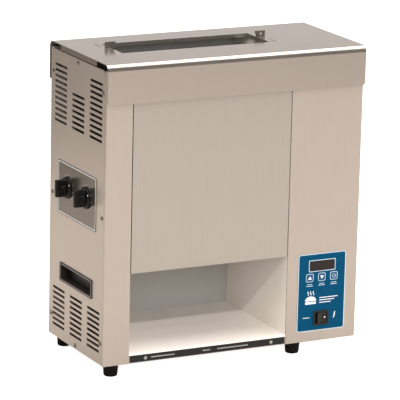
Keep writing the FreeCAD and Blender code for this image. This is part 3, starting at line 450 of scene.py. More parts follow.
finishes.update({
    # The cloth is brown PTFE, painted darker still as shade for the dark inside the machine.
    "release_sheet": glass_cloth("ptfe_glass_cloth_brown_and_shaded", "#1C1410", "#33251A"),
    "cast_plate": cast_metal("aluminium_sand_cast", "#77736D", "#97928B"),
    "transformer_iron": laminated("silicon_steel_laminations", "#3B3A3B", "#6A6867", 2.0, "X"),
    "circuit_board": board("fr4_board_green_resist", "#123F26", "#2C6A3C"),
    "overlay_film": printed("polycarbonate_film_blue", "#00405F", "#00486B", 0.5, Specular_IOR_Level=0.08),
    "plate_label": brushed_sheet("aluminium_plate_grey_anodised", "#6F6963", "#857E77", "z", 0.20, 0.30,
                                 0.85),
    "thermostat_shell": machined("thermostat_can_pressed", "#8C8D8D", "#B5B6B6", 0.32, 0.9),
})
WHITE_INK = printed("screen_ink_white", "#E9EEF2", "#F6F8FA", 0.45)
PALE_BLUE_INK = printed("screen_ink_pale_blue", "#B4CBDD", "#C4D7E6", 0.42)
SILVER_EDGE = printed("film_edge_silver_grey", "#B7C9D6", "#CBD9E2", 0.45)
UNLIT_DIGIT = printed("display_segment_unlit", "#2B1C1B", "#312020", 0.3)
# Painted light: a pale copy of the bay's steel, lighter than the sheet is, for the faces inside the landing
# bay that stand in the light.
BAY_PAINTED_LIGHT = brushed_sheet("stainless_304_bay_painted_light", "#EFE8E0", "#F6F0E9", "y", 0.5, 0.62, 0.05)
# Painted shade: a darker copy of the bay's steel for the back wall of the landing bay, which lies in shade.
BAY_BACK_PAINTED_SHADE = brushed_sheet("stainless_304_bay_back_painted_shade", "#A09D9A", "#ABA8A5", "x", 0.5, 0.62, 0.05)
# Painted shade: a dark copy for the faces of the bay's sheets that are turned away from the bay, where shade
# falls.
BAY_PAINTED_SHADE = brushed_sheet("stainless_304_painted_shade", "#3B3733", "#4A4540", "z", 0.5, 0.6, 0.4)
# Painted shade: near black for the sheet edges that stand in the gaps beside the front cover, where the deep
# gaps are dark.
SEAM_PAINTED_SHADE = moulded("sheet_edge_painted_shade", "#15110E", "#1F1A16", 0.7, 2.0, 0.01)

# %% Every solid gets its finish
painted = 0
for entry in frame["record"]["subparts"]:
    for face_slot in frame["nodes"][entry["node"]].material_slots:
        face_slot.material = finishes[entry["material_slot"]]
        painted += 1
print(painted, "solids painted of", len(frame["nodes"]))

# %% [markdown]
# ## How pieces are made here
#
# Three shapes cover most of the small parts: a plate with an outline pushed along an axis, with or
# without a hole; a profile turned round an axis; and a copy of a finished solid whose triangles are
# welded, so that its bends shade as one smooth curve and its edges can carry a small bevel. Each
# helper works on a bmesh, so several shapes can share one piece, and `piece` turns it into an
# object, gives it a finish and hangs it on the body that carries it.

# %% Shapes in mesh code
def piece(name, bm, material, body, smooth_below=35.0):
    """Object from a bmesh: normals outward, smooth where faces meet gently, riding on a body."""
    bmesh.ops.recalc_face_normals(bm, faces=bm.faces)
    mesh = bpy.data.meshes.new(name)
    bm.to_mesh(mesh)
    bm.free()
    mesh.materials.append(material)
    return hung(name, mesh, body, smooth_below)


def hung(name, mesh, body, smooth_below=35.0):
    """Object for a mesh that already has its place, riding on a body."""
    mesh.shade_smooth()
    mesh.set_sharp_from_angle(angle=math.radians(smooth_below))
    made = bpy.data.objects.new(name, mesh)
    scene.collection.objects.link(made)
    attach(made, body)
    print(f"{name}: {len(mesh.polygons)} faces on {body}")
    return made


def eased(made, width_mm, segments=2, angle=40.0):
    """Small rounded edge, as every moulded or deburred part has."""
    bevel = made.modifiers.new("eased_edges", "BEVEL")
    bevel.width, bevel.segments = width_mm * MM, segments
    bevel.limit_method, bevel.angle_limit = "ANGLE", math.radians(angle)
    bevel.harden_normals = True
    return made


def at(axis, along, u, v):
    """Point from a place along an axis and the other two coordinates in X, Y, Z order."""
    return Vector({"x": (along, u, v), "y": (u, along, v), "z": (u, v, along)}[axis])


def rounded_rectangle(u, v, half_u, half_v, radius, steps=5):
    """Outline of a rectangle with round corners, one point after another."""
    points = []
    for corner, (su, sv) in enumerate(((1, 1), (-1, 1), (-1, -1), (1, -1))):
        for step in range(steps + 1):
            angle = math.radians(90 * corner + 90 * step / steps)
            points.append((u + su * (half_u - radius) + radius * math.cos(angle),
                           v + sv * (half_v - radius) + radius * math.sin(angle)))
    return points


def circle(u, v, radius, steps=32):
    return [(u + radius * math.cos(math.tau * i / steps), v + radius * math.sin(math.tau * i / steps))
            for i in range(steps)]


def band(bm, lower, upper):
    """Faces between two closed rows of vertices."""
    for i in range(len(lower)):
        j = (i + 1) % len(lower)
        bm.faces.new((lower[i], lower[j], upper[j], upper[i]))


def plate(bm, axis, span, outline, hole=None, top=None):
    """Outline pushed along an axis; hole is an outline with as many points, top a smaller outline."""
    rows = [[bm.verts.new(at(axis, along, u, v)) for u, v in shape]
            for along, shape in ((span[0], outline), (span[1], top or outline))]
    band(bm, rows[0], rows[1])
    if hole is None:
        bm.faces.new(rows[0])
        bm.faces.new(rows[1])
        return
    inner = [[bm.verts.new(at(axis, along, u, v)) for u, v in hole] for along in span]
    band(bm, inner[0], inner[1])
    band(bm, rows[0], inner[0])
    band(bm, rows[1], inner[1])


def turned(bm, axis, centre, profile, steps=40):
    """Profile of (place along the axis, radius) turned round it; a radius of 0 closes the end."""
    rows = []
    for along, radius in profile:
        if radius == 0:
            rows.append([bm.verts.new(at(axis, along, *centre))])
        else:
            rows.append([bm.verts.new(at(axis, along, u, v)) for u, v in circle(*centre, radius, steps)])
    for lower, upper in zip(rows, rows[1:]):
        if len(lower) == 1 or len(upper) == 1:
            tip, ring = (lower[0], upper) if len(lower) == 1 else (upper[0], lower)
            for i in range(len(ring)):
                bm.faces.new((tip, ring[i], ring[(i + 1) % len(ring)]))
        else:
            band(bm, lower, upper)


def welded_copy(name, node, material, body, bevel_mm=0.3):
    """Copy of a solid with its triangles merged into whole faces and its edges eased."""
    bm = bmesh.new()
    bm.from_mesh(frame["nodes"][node].data)
    bmesh.ops.remove_doubles(bm, verts=bm.verts, dist=0.002 * MM)
    bmesh.ops.dissolve_limit(bm, angle_limit=math.radians(0.4), verts=bm.verts, edges=bm.edges)
    made = piece(name, bm, material, body, 32.0)
    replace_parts(made, node)
    return eased(made, bevel_mm) if bevel_mm else made


def second_finish(made, material, chosen):
    """The faces that pass a test take another finish."""
    made.data.materials.append(material)
    for face in made.data.polygons:
        if chosen(face):
            face.material_index = len(made.data.materials) - 1


# %% [markdown]
# ## The lid
#
# The lid is one sheet folded over the front and the back with a 13 mm bend. On the machine the bend
# is the brightest line of the whole object, because somewhere on its curve it always faces the
# lamp. A faceted bend would break that line into stripes, so the lid is a welded copy whose
# bend shades smoothly. Its finish is brushed along the machine's width on top.

# %% Lid and front cover
LID_STEEL = brushed_sheet("stainless_304_brushed_lid", "#B3AAA3", "#C4BBB4", "x", 0.16, 0.24, 0.85)
welded_copy("lid_sheet", "top_cover", LID_STEEL, "lid", 0.25)
lid_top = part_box("top_cover")[1].z
SEAM_REACH = 2.5 * MM       # faces this near to an end of the cover stand in its gap
SQUARE_ON = 0.9             # a face looks along an axis when its normal reaches this
TURNED_AWAY = -0.5
RIDGE_SHADE_DROP = 3.0 * MM       # the painted shade starts this far under the lid's top
cover_low, cover_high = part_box("front_cover")


def beside_seam(face):
    """A face that stands in the gap at either side of the front cover."""
    return abs(face.normal.x) > SQUARE_ON and min(abs(face.center.x - cover_low.x),
                                                  abs(face.center.x - cover_high.x)) < SEAM_REACH


# Faces in the gaps at the sides of the front cover take the painted shade.
for node, body, slot in (("front_cover", "bay_cover", "lid_steel"),
                         ("left_front_post", "cabinet", "cabinet_steel"),
                         ("control_front_panel", "cabinet", "cabinet_steel")):
    second_finish(welded_copy(f"{node}_sheet", node, finishes[slot], body, 0), SEAM_PAINTED_SHADE, beside_seam)
# The rear panel's inner face, the back wall of the landing bay, takes the painted shade.
second_finish(welded_copy("rear_panel_sheet", "rear_panel", finishes["cabinet_steel"], "cabinet",
                          0),
              BAY_BACK_PAINTED_SHADE, lambda face: face.normal.y < -SQUARE_ON)

# %% [markdown]
# ## Bun divider and release sheets
#
# The lift-out divider is one folded sheet; all of it below the lid's top, down inside the slot, is
# near black, a painted shade for the dark inside the machine. One closed mesh with two materials
# says that best: the ears at its ends stay bare steel.
# A sheet of coated glass cloth hangs over each face of the heated plate, pulled flat.

# %% Divider and sheets
# Painted shade: near black for the divider inside the slot, where the inside of the machine is dark.
SLOT_PAINTED_SHADE = moulded("divider_ridge_painted_shade", "#060505", "#0C0A09", 0.6, 1.4, 0.02, Specular_IOR_Level=0.08)
divider = welded_copy("bun_divider_sheet", "bun_divider", finishes["bracket_steel"], "divider",
                      0)
# Faces below the lid's top take the painted shade.
second_finish(divider, SLOT_PAINTED_SHADE, lambda face: face.center.z < lid_top - RIDGE_SHADE_DROP)


# %% [markdown]
# ## Compression knobs
#
# Two black phenolic knobs squeeze the buns harder or softer. Each has a thin round skirt that
# slides over the label plate and a flat upright bar to grip; a white dot on the skirt points at the
# setting. A stack of rounded outlines, a little smaller towards the tip, gives the bar its soft
# end; the skirt and the hub that the shaft goes into are turned.

# %% Knobs
GRIP_HALF_THICK, GRIP_HALF_TALL = 4.4 * MM, 17.5 * MM
HUB_RADIUS, HUB_REACH = 7.5 * MM, 13.6 * MM
DOT_ANGLE = math.radians(27)


def compression_knob(side, body):
    low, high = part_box(f"{side}_knob")
    y, z = (low.y + high.y) / 2, (low.z + high.z) / 2
    tip, foot = low.x, high.x
    skirt = (high.z - low.z) / 2
    bm = bmesh.new()
    turned(bm, "x", (y, z), [(foot, 0.0), (foot, skirt * 0.97), (foot - 1.0 * MM, skirt),
                             (foot - 2.4 * MM, skirt), (foot - 3.6 * MM, skirt * 0.94),
                             (foot - 4.4 * MM, HUB_RADIUS * 1.5), (foot - 5.4 * MM, HUB_RADIUS),
                             (foot - HUB_REACH, HUB_RADIUS * 0.9), (foot - HUB_REACH, 0.0)], 64)
    steps = [(foot - 3.0 * MM, -1.2), (foot - 5.0 * MM, -0.3), (foot - 9.0 * MM, 0.0), (tip + 5 * MM, 0.1),
             (tip + 1.2 * MM, 0.3), (tip + 0.35 * MM, 0.8), (tip, 1.6)]
    rows = []
    for along, inset in steps:
        shape = rounded_rectangle(y, z, GRIP_HALF_THICK - inset * MM, GRIP_HALF_TALL - inset * MM, 2.4 * MM,
                                  6)
        rows.append([bm.verts.new(at("x", along, u, v)) for u, v in shape])
    for lower, upper in zip(rows, rows[1:]):
        band(bm, lower, upper)
    bm.faces.new(rows[0])
    bm.faces.new(rows[-1])
    knob = piece(f"{side}_knob_grip", bm, finishes["knob_plastic"], body, 50.0)
    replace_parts(knob, f"{side}_knob")
    bm = bmesh.new()
    dot = (y - (skirt - 3.6 * MM) * math.cos(DOT_ANGLE), z + (skirt - 3.6 * MM) * math.sin(DOT_ANGLE))
    plate(bm, "x", (foot - 4.1 * MM, foot - 3.4 * MM), circle(*dot, 1.4 * MM, 20))
    piece(f"{side}_knob_dot", bm, WHITE_INK, body)
    return y, z, skirt


knob_places = [compression_knob("front", "front_compression"), compression_knob("rear", "rear_compression")]

# %% [markdown]
# ## Label plate behind the knobs
#
# A thin grey anodised plate with a dark edge line and a bright inner line, and tick marks that fan
# round each knob. Printed lines could be painted by a texture, but a line a millimetre wide is
# crisper, and survives an export better, as a thin piece of its own lying on the plate.

# %% Label plate lines and dial ticks
def frame_line(bm, axis, span, u, v, half_u, half_v, radius, width):
    """Closed line of one width round a rounded rectangle."""
    plate(bm, axis, span, rounded_rectangle(u, v, half_u, half_v, radius),
          rounded_rectangle(u, v, half_u - width, half_v - width, max(radius - width, 0.2 * MM)))


INK = 0.12 * MM          # prints stand this far proud, so that they never flicker
low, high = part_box("knob_plate")
plate_y, plate_z = (low.y + high.y) / 2, (low.z + high.z) / 2
half_y, half_z = (high.y - low.y) / 2, (high.z - low.z) / 2
bm = bmesh.new()
frame_line(bm, "x", (low.x - INK, low.x), plate_y, plate_z, half_y - 1.6 * MM, half_z - 1.6 * MM, 1.5 * MM,
           1.5 * MM)
piece("label_plate_bright_line", bm, WHITE_INK, "cabinet")
bm = bmesh.new()
frame_line(bm, "x", (low.x - INK, low.x), plate_y, plate_z, half_y, half_z, 1.5 * MM, 1.3 * MM)
piece("label_plate_edge_line", bm, finishes["strip_label"], "cabinet")

TICKS, TICK_FAN = 9, math.radians(270)
bm = bmesh.new()
for y, z, skirt in knob_places:
    for index in range(TICKS):
        angle = math.radians(90) + TICK_FAN * (index / (TICKS - 1) - 0.5)
        out, across = Vector((math.cos(angle), math.sin(angle))), Vector((-math.sin(angle), math.cos(angle)))
        near, far, thick = skirt + 1.6 * MM, skirt + (4.6 if index % 4 == 0 else 3.4) * MM, 0.4 * MM
        middle = Vector((y, z))
        corners = [middle + out * near - across * thick, middle + out * far - across * thick,
                   middle + out * far + across * thick, middle + out * near + across * thick]
        plate(bm, "x", (low.x - INK, low.x), [tuple(c) for c in corners])
piece("label_plate_ticks", bm, WHITE_INK, "cabinet")

# %% [markdown]
# ## Carrying recesses
#
# A black tray is pushed into each end for the fingers. What the eye catches is its rim: a dark
# outer lip and, just inside it, a lighter line, a painted highlight where the rim's inner edge catches
# the light. The tray itself stays as it is; a rounded rim is laid over its collar.

# %% Rims of the carrying recesses
def recess_rim(side, direction):
    low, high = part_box(f"{side}_handle_pocket")
    face = low.x if direction < 0 else high.x
    y, z = (low.y + high.y) / 2, (low.z + high.z) / 2
    half_y, half_z = (high.y - low.y) / 2, (high.z - low.z) / 2
    bm = bmesh.new()
    frame_line(bm, "x", (face, face + direction * 0.5 * MM), y, z, half_y, half_z, 2.0 * MM, 2.2 * MM)
    eased(piece(f"{side}_recess_rim", bm, finishes["pocket_plastic"], "cabinet"), 0.25)
    # A grey line just inside the rim, a painted highlight.
    bm = bmesh.new()
    frame_line(bm, "x", (face, face + direction * 0.35 * MM), y, z, half_y - 2.2 * MM, half_z - 2.2 * MM,
               1.2 * MM, 1.6 * MM)
    piece(f"{side}_recess_worn_edge", bm, RIM_PAINTED_HIGHLIGHT, "cabinet")


# Painted highlight: grey for the line where the rim's edge catches the light.
RIM_PAINTED_HIGHLIGHT = moulded("abs_rim_painted_highlight", "#6E6763", "#857D78", 0.34, 1.4, 0.02)
recess_rim("left", -1)
recess_rim("right", 1)

# %% [markdown]
# ## Control overlay
#
# A blue printed film carries the whole front of the controls: a thin silver edge all round, a
# light frame round the display, a light ring round each key, small bars where a word would be,
# a bun with rising heat as a plain picture, and a mains flash. Letters are left out. All of it is
# drawn with outlines in two inks, each ink one piece.

# %% Film edge, window frame and key rings
film_low, film_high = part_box("control_overlay")
film_x, film_z = (film_low.x + film_high.x) / 2, (film_low.z + film_high.z) / 2
film_half_x, film_half_z = (film_high.x - film_low.x) / 2, (film_high.z - film_low.z) / 2
film_face = film_low.y
printed_on = (film_face - INK, film_face)
bm = bmesh.new()
frame_line(bm, "y", printed_on, film_x, film_z, film_half_x, film_half_z, 5.0 * MM, 1.6 * MM)
piece("overlay_silver_edge", bm, SILVER_EDGE, "cabinet")

window_low, window_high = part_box("display_lens")
window_x, window_z = (window_low.x + window_high.x) / 2, (window_low.z + window_high.z) / 2
key_boxes = [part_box(name) for name in ("key_up", "key_down", "key_select")]
key_middles = [((low.x + high.x) / 2, (low.z + high.z) / 2) for low, high in key_boxes]
KEY_HALF = 7.0 * MM
bm = bmesh.new()
frame_line(bm, "y", (window_low.y - INK, film_face), window_x, window_z,
           (window_high.x - window_low.x) / 2 + 1.2 * MM,
           (window_high.z - window_low.z) / 2 + 1.2 * MM, 1.4 * MM, 1.3 * MM)
for x, z in key_middles:
    frame_line(bm, "y", printed_on, x, z, KEY_HALF + 1.5 * MM, KEY_HALF + 1.5 * MM, 3.6 * MM, 1.1 * MM)
BAR_HALF_HEIGHT = 0.55 * MM
for x, z in key_middles:
    for drop, half_length in ((13.5, 6.0), (17.0, 7.5)):
        plate(bm, "y", printed_on, rounded_rectangle(x, z - drop * MM, half_length * MM, BAR_HALF_HEIGHT,
                                                     0.4 * MM))
piece("overlay_light_lines", bm, PALE_BLUE_INK, "cabinet")


# %% Plain pictures in white ink
def arch(u, v, radius_u, radius_v, start, stop, steps=16):
    """Points along part of an ellipse, angles in degrees."""
    angles = [math.radians(start + (stop - start) * i / steps) for i in range(steps + 1)]
    return [(u + radius_u * math.cos(a), v + radius_v * math.sin(a)) for a in angles]


def ribbon(bm, axis, span, points, width):
    """Line of one width through points."""
    path = [Vector(p) for p in points]
    left, right = [], []
    for i, p in enumerate(path):
        run = (path[min(i + 1, len(path) - 1)] - path[max(i - 1, 0)]).normalized()
        across = Vector((-run.y, run.x)) * width / 2
        left.append(tuple(p + across))
        right.append(tuple(p - across))
    plate(bm, axis, span, left + right[::-1])


switch_low, switch_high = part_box("switch_housing")
switch_x, switch_z = (switch_low.x + switch_high.x) / 2, (switch_low.z + switch_high.z) / 2
picture_x, picture_z = film_x - 24 * MM, (window_low.z + switch_high.z) / 2 - 20 * MM
bm = bmesh.new()
plate(bm, "y", printed_on, arch(picture_x, picture_z, 12.5 * MM, 9.5 * MM, 0, 180))
plate(bm, "y", printed_on, rounded_rectangle(picture_x, picture_z - 4.2 * MM, 12.5 * MM, 2.4 * MM, 2.2 * MM))
for shift in (-6.0, 0.0, 6.0):
    waves = [(picture_x + (shift + 1.1 * math.sin(math.tau * t / 8)) * MM,
              picture_z + (12 + t) * MM) for t in range(9)]
    ribbon(bm, "y", printed_on, waves, 1.3 * MM)
for row, half_length in ((5.0, 21.0), (0.0, 17.0), (-5.0, 13.0)):
    plate(bm, "y", printed_on, rounded_rectangle(film_x + 17 * MM + (half_length - 21) * MM,
                                                 picture_z + row * MM,
                                                 half_length * MM, 0.7 * MM, 0.5 * MM))
plate(bm, "y", printed_on, rounded_rectangle(switch_x - 33 * MM, switch_z + 2 * MM, 8.0 * MM,
                                             BAR_HALF_HEIGHT, 0.4 * MM))
sign_x = switch_x + 31 * MM
flash = ((1.9, 6.2), (-0.7, 0.6), (0.9, -0.4), (-1.9, -6.2))
ribbon(bm, "y", printed_on, [(sign_x + u * MM, switch_z + 3 * MM + v * MM) for u, v in flash], 1.9 * MM)
piece("overlay_white_pictures", bm, WHITE_INK, "cabinet")

# %% [markdown]
# ## Keys, display and power switch
#
# The three keys travel, so what is printed on a key is a piece of its own that rides with it. The
# display is off: behind a smoked window only the faint grey-brown bars of four digits show. The
# rocker is a hollow V whose right half is pressed in; the dot marks the side that is on.

# %% Key caps
KEY_FILM = printed("polycarbonate_key_dark_blue", "#02426A", "#054C78", 0.34, Coat_Weight=0.2)
for (low, high), (x, z), node, body in zip(key_boxes, key_middles, ("key_up", "key_down", "key_select"),
                                           ("up_key", "down_key", "select_key")):
    for face_slot in frame["nodes"][node].material_slots:
        face_slot.material = KEY_FILM
    on_key = (low.y - INK, low.y)
    bm = bmesh.new()
    if node == "key_select":
        ribbon(bm, "y", on_key, arch(x, z, 3.6 * MM, 3.6 * MM, 60, 360, 20), 0.9 * MM)
        plate(bm, "y", on_key, [(x + 1.9 * MM, z - 0.4 * MM), (x + 5.3 * MM, z - 0.4 * MM),
                                (x + 3.6 * MM, z + 2.6 * MM)])
    else:
        up = 1 if node == "key_up" else -1
        plate(bm, "y", on_key, [(x - 4.2 * MM, z - up * 3.0 * MM), (x + 4.2 * MM, z - up * 3.0 * MM),
                                (x, z + up * 3.6 * MM)])
    piece(f"{node}_sign", bm, PALE_BLUE_INK if node == "key_select" else WHITE_INK, body)

# %% Unlit digits
DIGIT_HALF_WIDTH, DIGIT_HALF_HEIGHT, SEGMENT = 4.6 * MM, 7.6 * MM, 1.3 * MM
SLANT = math.tan(math.radians(8))
bm = bmesh.new()
for index in range(4):
    middle = window_x + (index - 1.5) * 13.0 * MM
    bars = [((-1, v), (1, v)) for v in (-1, 0, 1)]
    bars += [((u, v), (u, v + 1)) for u in (-1, 1) for v in (-1, 0)]
    for (u0, v0), (u1, v1) in bars:
        a = Vector((u0 * DIGIT_HALF_WIDTH, v0 * DIGIT_HALF_HEIGHT))
        b = Vector((u1 * DIGIT_HALF_WIDTH, v1 * DIGIT_HALF_HEIGHT))
        run = (b - a).normalized()
        a, b = a + run * SEGMENT * 0.7, b - run * SEGMENT * 0.7
        across = Vector((-run.y, run.x)) * SEGMENT / 2
        corners = [a - run * SEGMENT / 2, a + across, b + across, b + run * SEGMENT / 2, b - across,
                   a - across]
        plate(bm, "y", (window_low.y - 0.05 * MM, window_low.y),
              [(middle + c.x + c.y * SLANT, window_z + c.y) for c in corners])
piece("display_unlit_digits", bm, UNLIT_DIGIT, "cabinet")

# %% Rocker dot
rocker = frame["nodes"]["power_rocker"].data
right_face = max((p for p in rocker.polygons if p.normal.y < -0.5), key=lambda p: p.center.x)
across = Vector((0, 0, 1)).cross(right_face.normal).normalized()
dot_middle = Vector((switch_x + 9.0 * MM, right_face.center.y, switch_z))
dot_middle.y -= (dot_middle - right_face.center).dot(right_face.normal) / right_face.normal.y
bm = bmesh.new()
rows = []
for lift in (-0.1 * MM, 0.15 * MM):
    rows.append([bm.verts.new(dot_middle + right_face.normal * lift + across * u + Vector((0, 0, v)))
                 for u, v in circle(0, 0, 1.5 * MM, 20)])
band(bm, rows[0], rows[1])
bm.faces.new(rows[0])
bm.faces.new(rows[1])
piece("rocker_dot", bm, WHITE_INK, "switch_rocker")
eased(welded_copy("rocker_paddle", "power_rocker", finishes["switch_plastic"], "switch_rocker",
                  0), 0.5, 3)
eased(welded_copy("switch_bezel", "switch_housing", finishes["switch_plastic"], "cabinet",
                  0), 0.3)

# %% [markdown]
# ## Rubber feet
#
# Each foot is moulded rubber, a little wider at the top, with a rounded lower edge and a hollow
# for its screw. A turned profile gives all of it in one go.

# %% Feet
for corner in ("front_left", "front_right", "rear_left", "rear_right"):
    low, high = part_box(f"foot_{corner}")
    centre = ((low.x + high.x) / 2, (low.y + high.y) / 2)
    wide = (high.x - low.x) / 2
    profile = [(8 * MM, 2.7 * MM), (8 * MM, 6.0 * MM), (0.4 * MM, 6.2 * MM), (0.0, 7.0 * MM),
               (0.0, wide - 4.6 * MM),
               (0.5 * MM, wide - 3.2 * MM), (1.8 * MM, wide - 2.1 * MM), (4.0 * MM, wide - 1.7 * MM),
               (high.z - 5.5 * MM, wide - 0.6 * MM), (high.z - 4.8 * MM, wide - 0.1 * MM),
               (high.z - 3.6 * MM, wide), (high.z, wide), (high.z, 2.7 * MM), (8 * MM, 2.7 * MM)]
    bm = bmesh.new()
    turned(bm, "z", centre, profile, 56)
    bmesh.ops.remove_doubles(bm, verts=bm.verts, dist=0.001 * MM)
    made = piece(f"rubber_foot_{corner}", bm, finishes["foot_rubber"], "cabinet", 40.0)
    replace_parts(made, f"foot_{corner}")

# %% [markdown]
# ## Screw heads, stamped by Geometry Nodes
#
# Twenty-four sheet screws hold the ends and the back. One head is modelled with care, with a domed
# rim and a cross recess, and a node tree stamps it on a cloud of points. Each point carries the
# direction that its screw looks in, so that one tree serves all the panels. The tree ends by making
# the stamps real and giving them their finish, because instances are lost on export.

# %% A tree that stamps one shape on points
def new_tree(name, inputs):
    """Empty geometry tree with named inputs; returns the tree, its input node and its output node."""
    tree = bpy.data.node_groups.new(name, "GeometryNodeTree")
    tree.interface.new_socket("Geometry", in_out="INPUT", socket_type="NodeSocketGeometry")
    for label, kind in inputs:
        tree.interface.new_socket(label, in_out="INPUT", socket_type=kind)
    tree.interface.new_socket("Geometry", in_out="OUTPUT", socket_type="NodeSocketGeometry")
    return tree, add(tree, "NodeGroupInput"), add(tree, "NodeGroupOutput")


def grown(name, carrier, tree, values, body, smooth_below=35.0):
    """Runs a tree on a carrier mesh with these input values and keeps the result as a plain piece."""
    holder = bpy.data.objects.new(name + "_carrier", carrier)
    scene.collection.objects.link(holder)
    modifier = holder.modifiers.new("tree", "NODES")
    modifier.node_group = tree
    for item in tree.interface.items_tree:
        if item.in_out == "INPUT" and item.name in values:
            modifier[item.identifier] = values[item.name]
    graph = bpy.context.evaluated_depsgraph_get()
    mesh = bpy.data.meshes.new_from_object(holder.evaluated_get(graph), depsgraph=graph)
    bpy.data.objects.remove(holder)
    return hung(name, mesh, body, smooth_below)


stamp_tree, given, result = new_tree("stamp_on_points",
                                     [("Stamp", "NodeSocketObject"), ("Finish", "NodeSocketMaterial")])
stamp = add(stamp_tree, "GeometryNodeObjectInfo", links={"Object": given.outputs["Stamp"]})
outward = add(stamp_tree, "GeometryNodeInputNamedAttribute", {"Name": "outward"}, data_type="FLOAT_VECTOR")
turn = add(stamp_tree, "FunctionNodeAlignRotationToVector", links={"Vector": outward.outputs["Attribute"]},
           axis="Z")
placed = add(stamp_tree, "GeometryNodeInstanceOnPoints", links={
    "Points": given.outputs["Geometry"], "Instance": stamp.outputs["Geometry"],
    "Rotation": turn.outputs["Rotation"]})
real = add(stamp_tree, "GeometryNodeRealizeInstances", links={"Geometry": placed.outputs["Instances"]})
finished = add(stamp_tree, "GeometryNodeSetMaterial", links={"Geometry": real.outputs["Geometry"],
                                                             "Material": given.outputs["Finish"]})
stamp_tree.links.new(finished.outputs["Geometry"], result.inputs["Geometry"])


# %% Where the screws are, and one good head
def islands(node):
    """Lowest and highest corner of each separate solid in a node."""
    bm = bmesh.new()
    bm.from_mesh(frame["nodes"][node].data)
    bmesh.ops.remove_doubles(bm, verts=bm.verts, dist=0.002 * MM)
    left, found = set(bm.verts), []
    while left:
        group, edge_of = [], [left.pop()]
        while edge_of:
            vertex = edge_of.pop()
            group.append(vertex.co.copy())
            for edge in vertex.link_edges:
                other = edge.other_vert(vertex)
                if other in left:
                    left.remove(other)
                    edge_of.append(other)
        found.append((Vector(map(min, *group)), Vector(map(max, *group))))
    bm.free()
    return found


def pan_head(radius, height, shank):
    """Pan head with a cross recess; its seat is at z 0 and its shank goes down."""
    bm = bmesh.new()
    arm, half_width, floor_z = radius * 0.52, radius * 0.11, height * 0.45
    recess = []
    for quarter in range(4):
        turn = Matrix.Rotation(math.tau * quarter / 4, 2)
        recess += [turn @ Vector(p) for p in ((half_width, half_width), (half_width, arm),
                                              (-half_width, arm))]
    order = sorted(recess, key=lambda p: math.atan2(p.y, p.x))
    rim = [Vector((math.cos(math.atan2(p.y, p.x)), math.sin(math.atan2(p.y, p.x)))) * radius for p in order]
    rows = []
    for scale, z in ((0.40, -shank), (0.44, 0.0), (1.0, 0.0), (1.0, height * 0.45), (0.93, height * 0.78),
                     (0.74, height * 0.97)):
        rows.append([bm.verts.new((p.x * scale, p.y * scale, z)) for p in rim])
    rows.append([bm.verts.new((p.x, p.y, height)) for p in order])
    rows.append([bm.verts.new((p.x * 0.9, p.y * 0.9, floor_z)) for p in order])
    for lower, upper in zip(rows, rows[1:]):
        band(bm, lower, upper)
    bm.faces.new(rows[0])
    bm.faces.new(rows[-1])
    bmesh.ops.recalc_face_normals(bm, faces=bm.faces)
    mesh = bpy.data.meshes.new("pan_head")
    bm.to_mesh(mesh)
    bm.free()
    made = bpy.data.objects.new("pan_head", mesh)
    scene.collection.objects.link(made)
    return made


for low, high in sorted(islands("release_sheets"), key=lambda box: box[0].y):
    side = "front" if high.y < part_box("heated_platen")[1].y else "rear"
    bm = bmesh.new()
    plate(bm, "y", (low.y, high.y), rounded_rectangle((low.x + high.x) / 2, (low.z + high.z) / 2,
                                                      (high.x - low.x) / 2, (high.z - low.z) / 2, 3.0 * MM))
    cloth = piece(f"{side}_release_sheet", bm, finishes["release_sheet"], "cabinet")
    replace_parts(cloth, "release_sheets")

HEAD_RADIUS, HEAD_HEIGHT, SHANK_LENGTH = 4.4 * MM, 1.8 * MM, 6.0 * MM
cabinet_low, cabinet_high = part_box("rear_panel")
seats, directions = [], []
for low, high in islands("panel_screws"):
    middle = (low + high) / 2
    if low.x < cabinet_low.x:
        seats.append((cabinet_low.x, middle.y, middle.z))
        directions.append((-1, 0, 0))
    elif high.x > cabinet_high.x:
        seats.append((cabinet_high.x, middle.y, middle.z))
        directions.append((1, 0, 0))
    else:
        seats.append((middle.x, cabinet_high.y, middle.z))
        directions.append((0, 1, 0))
cloud = bpy.data.meshes.new("screw_points")
cloud.from_pydata(seats, [], [])
cloud.attributes.new("outward", "FLOAT_VECTOR", "POINT").data.foreach_set("vector",
                                                                          [v for d in directions for v in d])
head = pan_head(HEAD_RADIUS, HEAD_HEIGHT, SHANK_LENGTH)
screws = grown("panel_screw_heads", cloud, stamp_tree, {"Stamp": head, "Finish": finishes["screw_steel"]},
               "cabinet")
bpy.data.objects.remove(head)
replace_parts(screws, "panel_screws")
print(len(seats), "screws")

# %% [markdown]
# ## Wire belts, grown by Geometry Nodes
#
# Each conveyor carries a flat-flex belt: spring wires bent to a square wave that hook into each
# other, so that heat and crumbs pass through. It would take hours to place by hand and follows one
# simple rule, which is what a node tree is for: one wire is drawn from a row of points whose odd
# pairs are pushed forward, the belt's path is cut into even steps, and a wire is set at each
# step, turned to follow the path round the wheels.

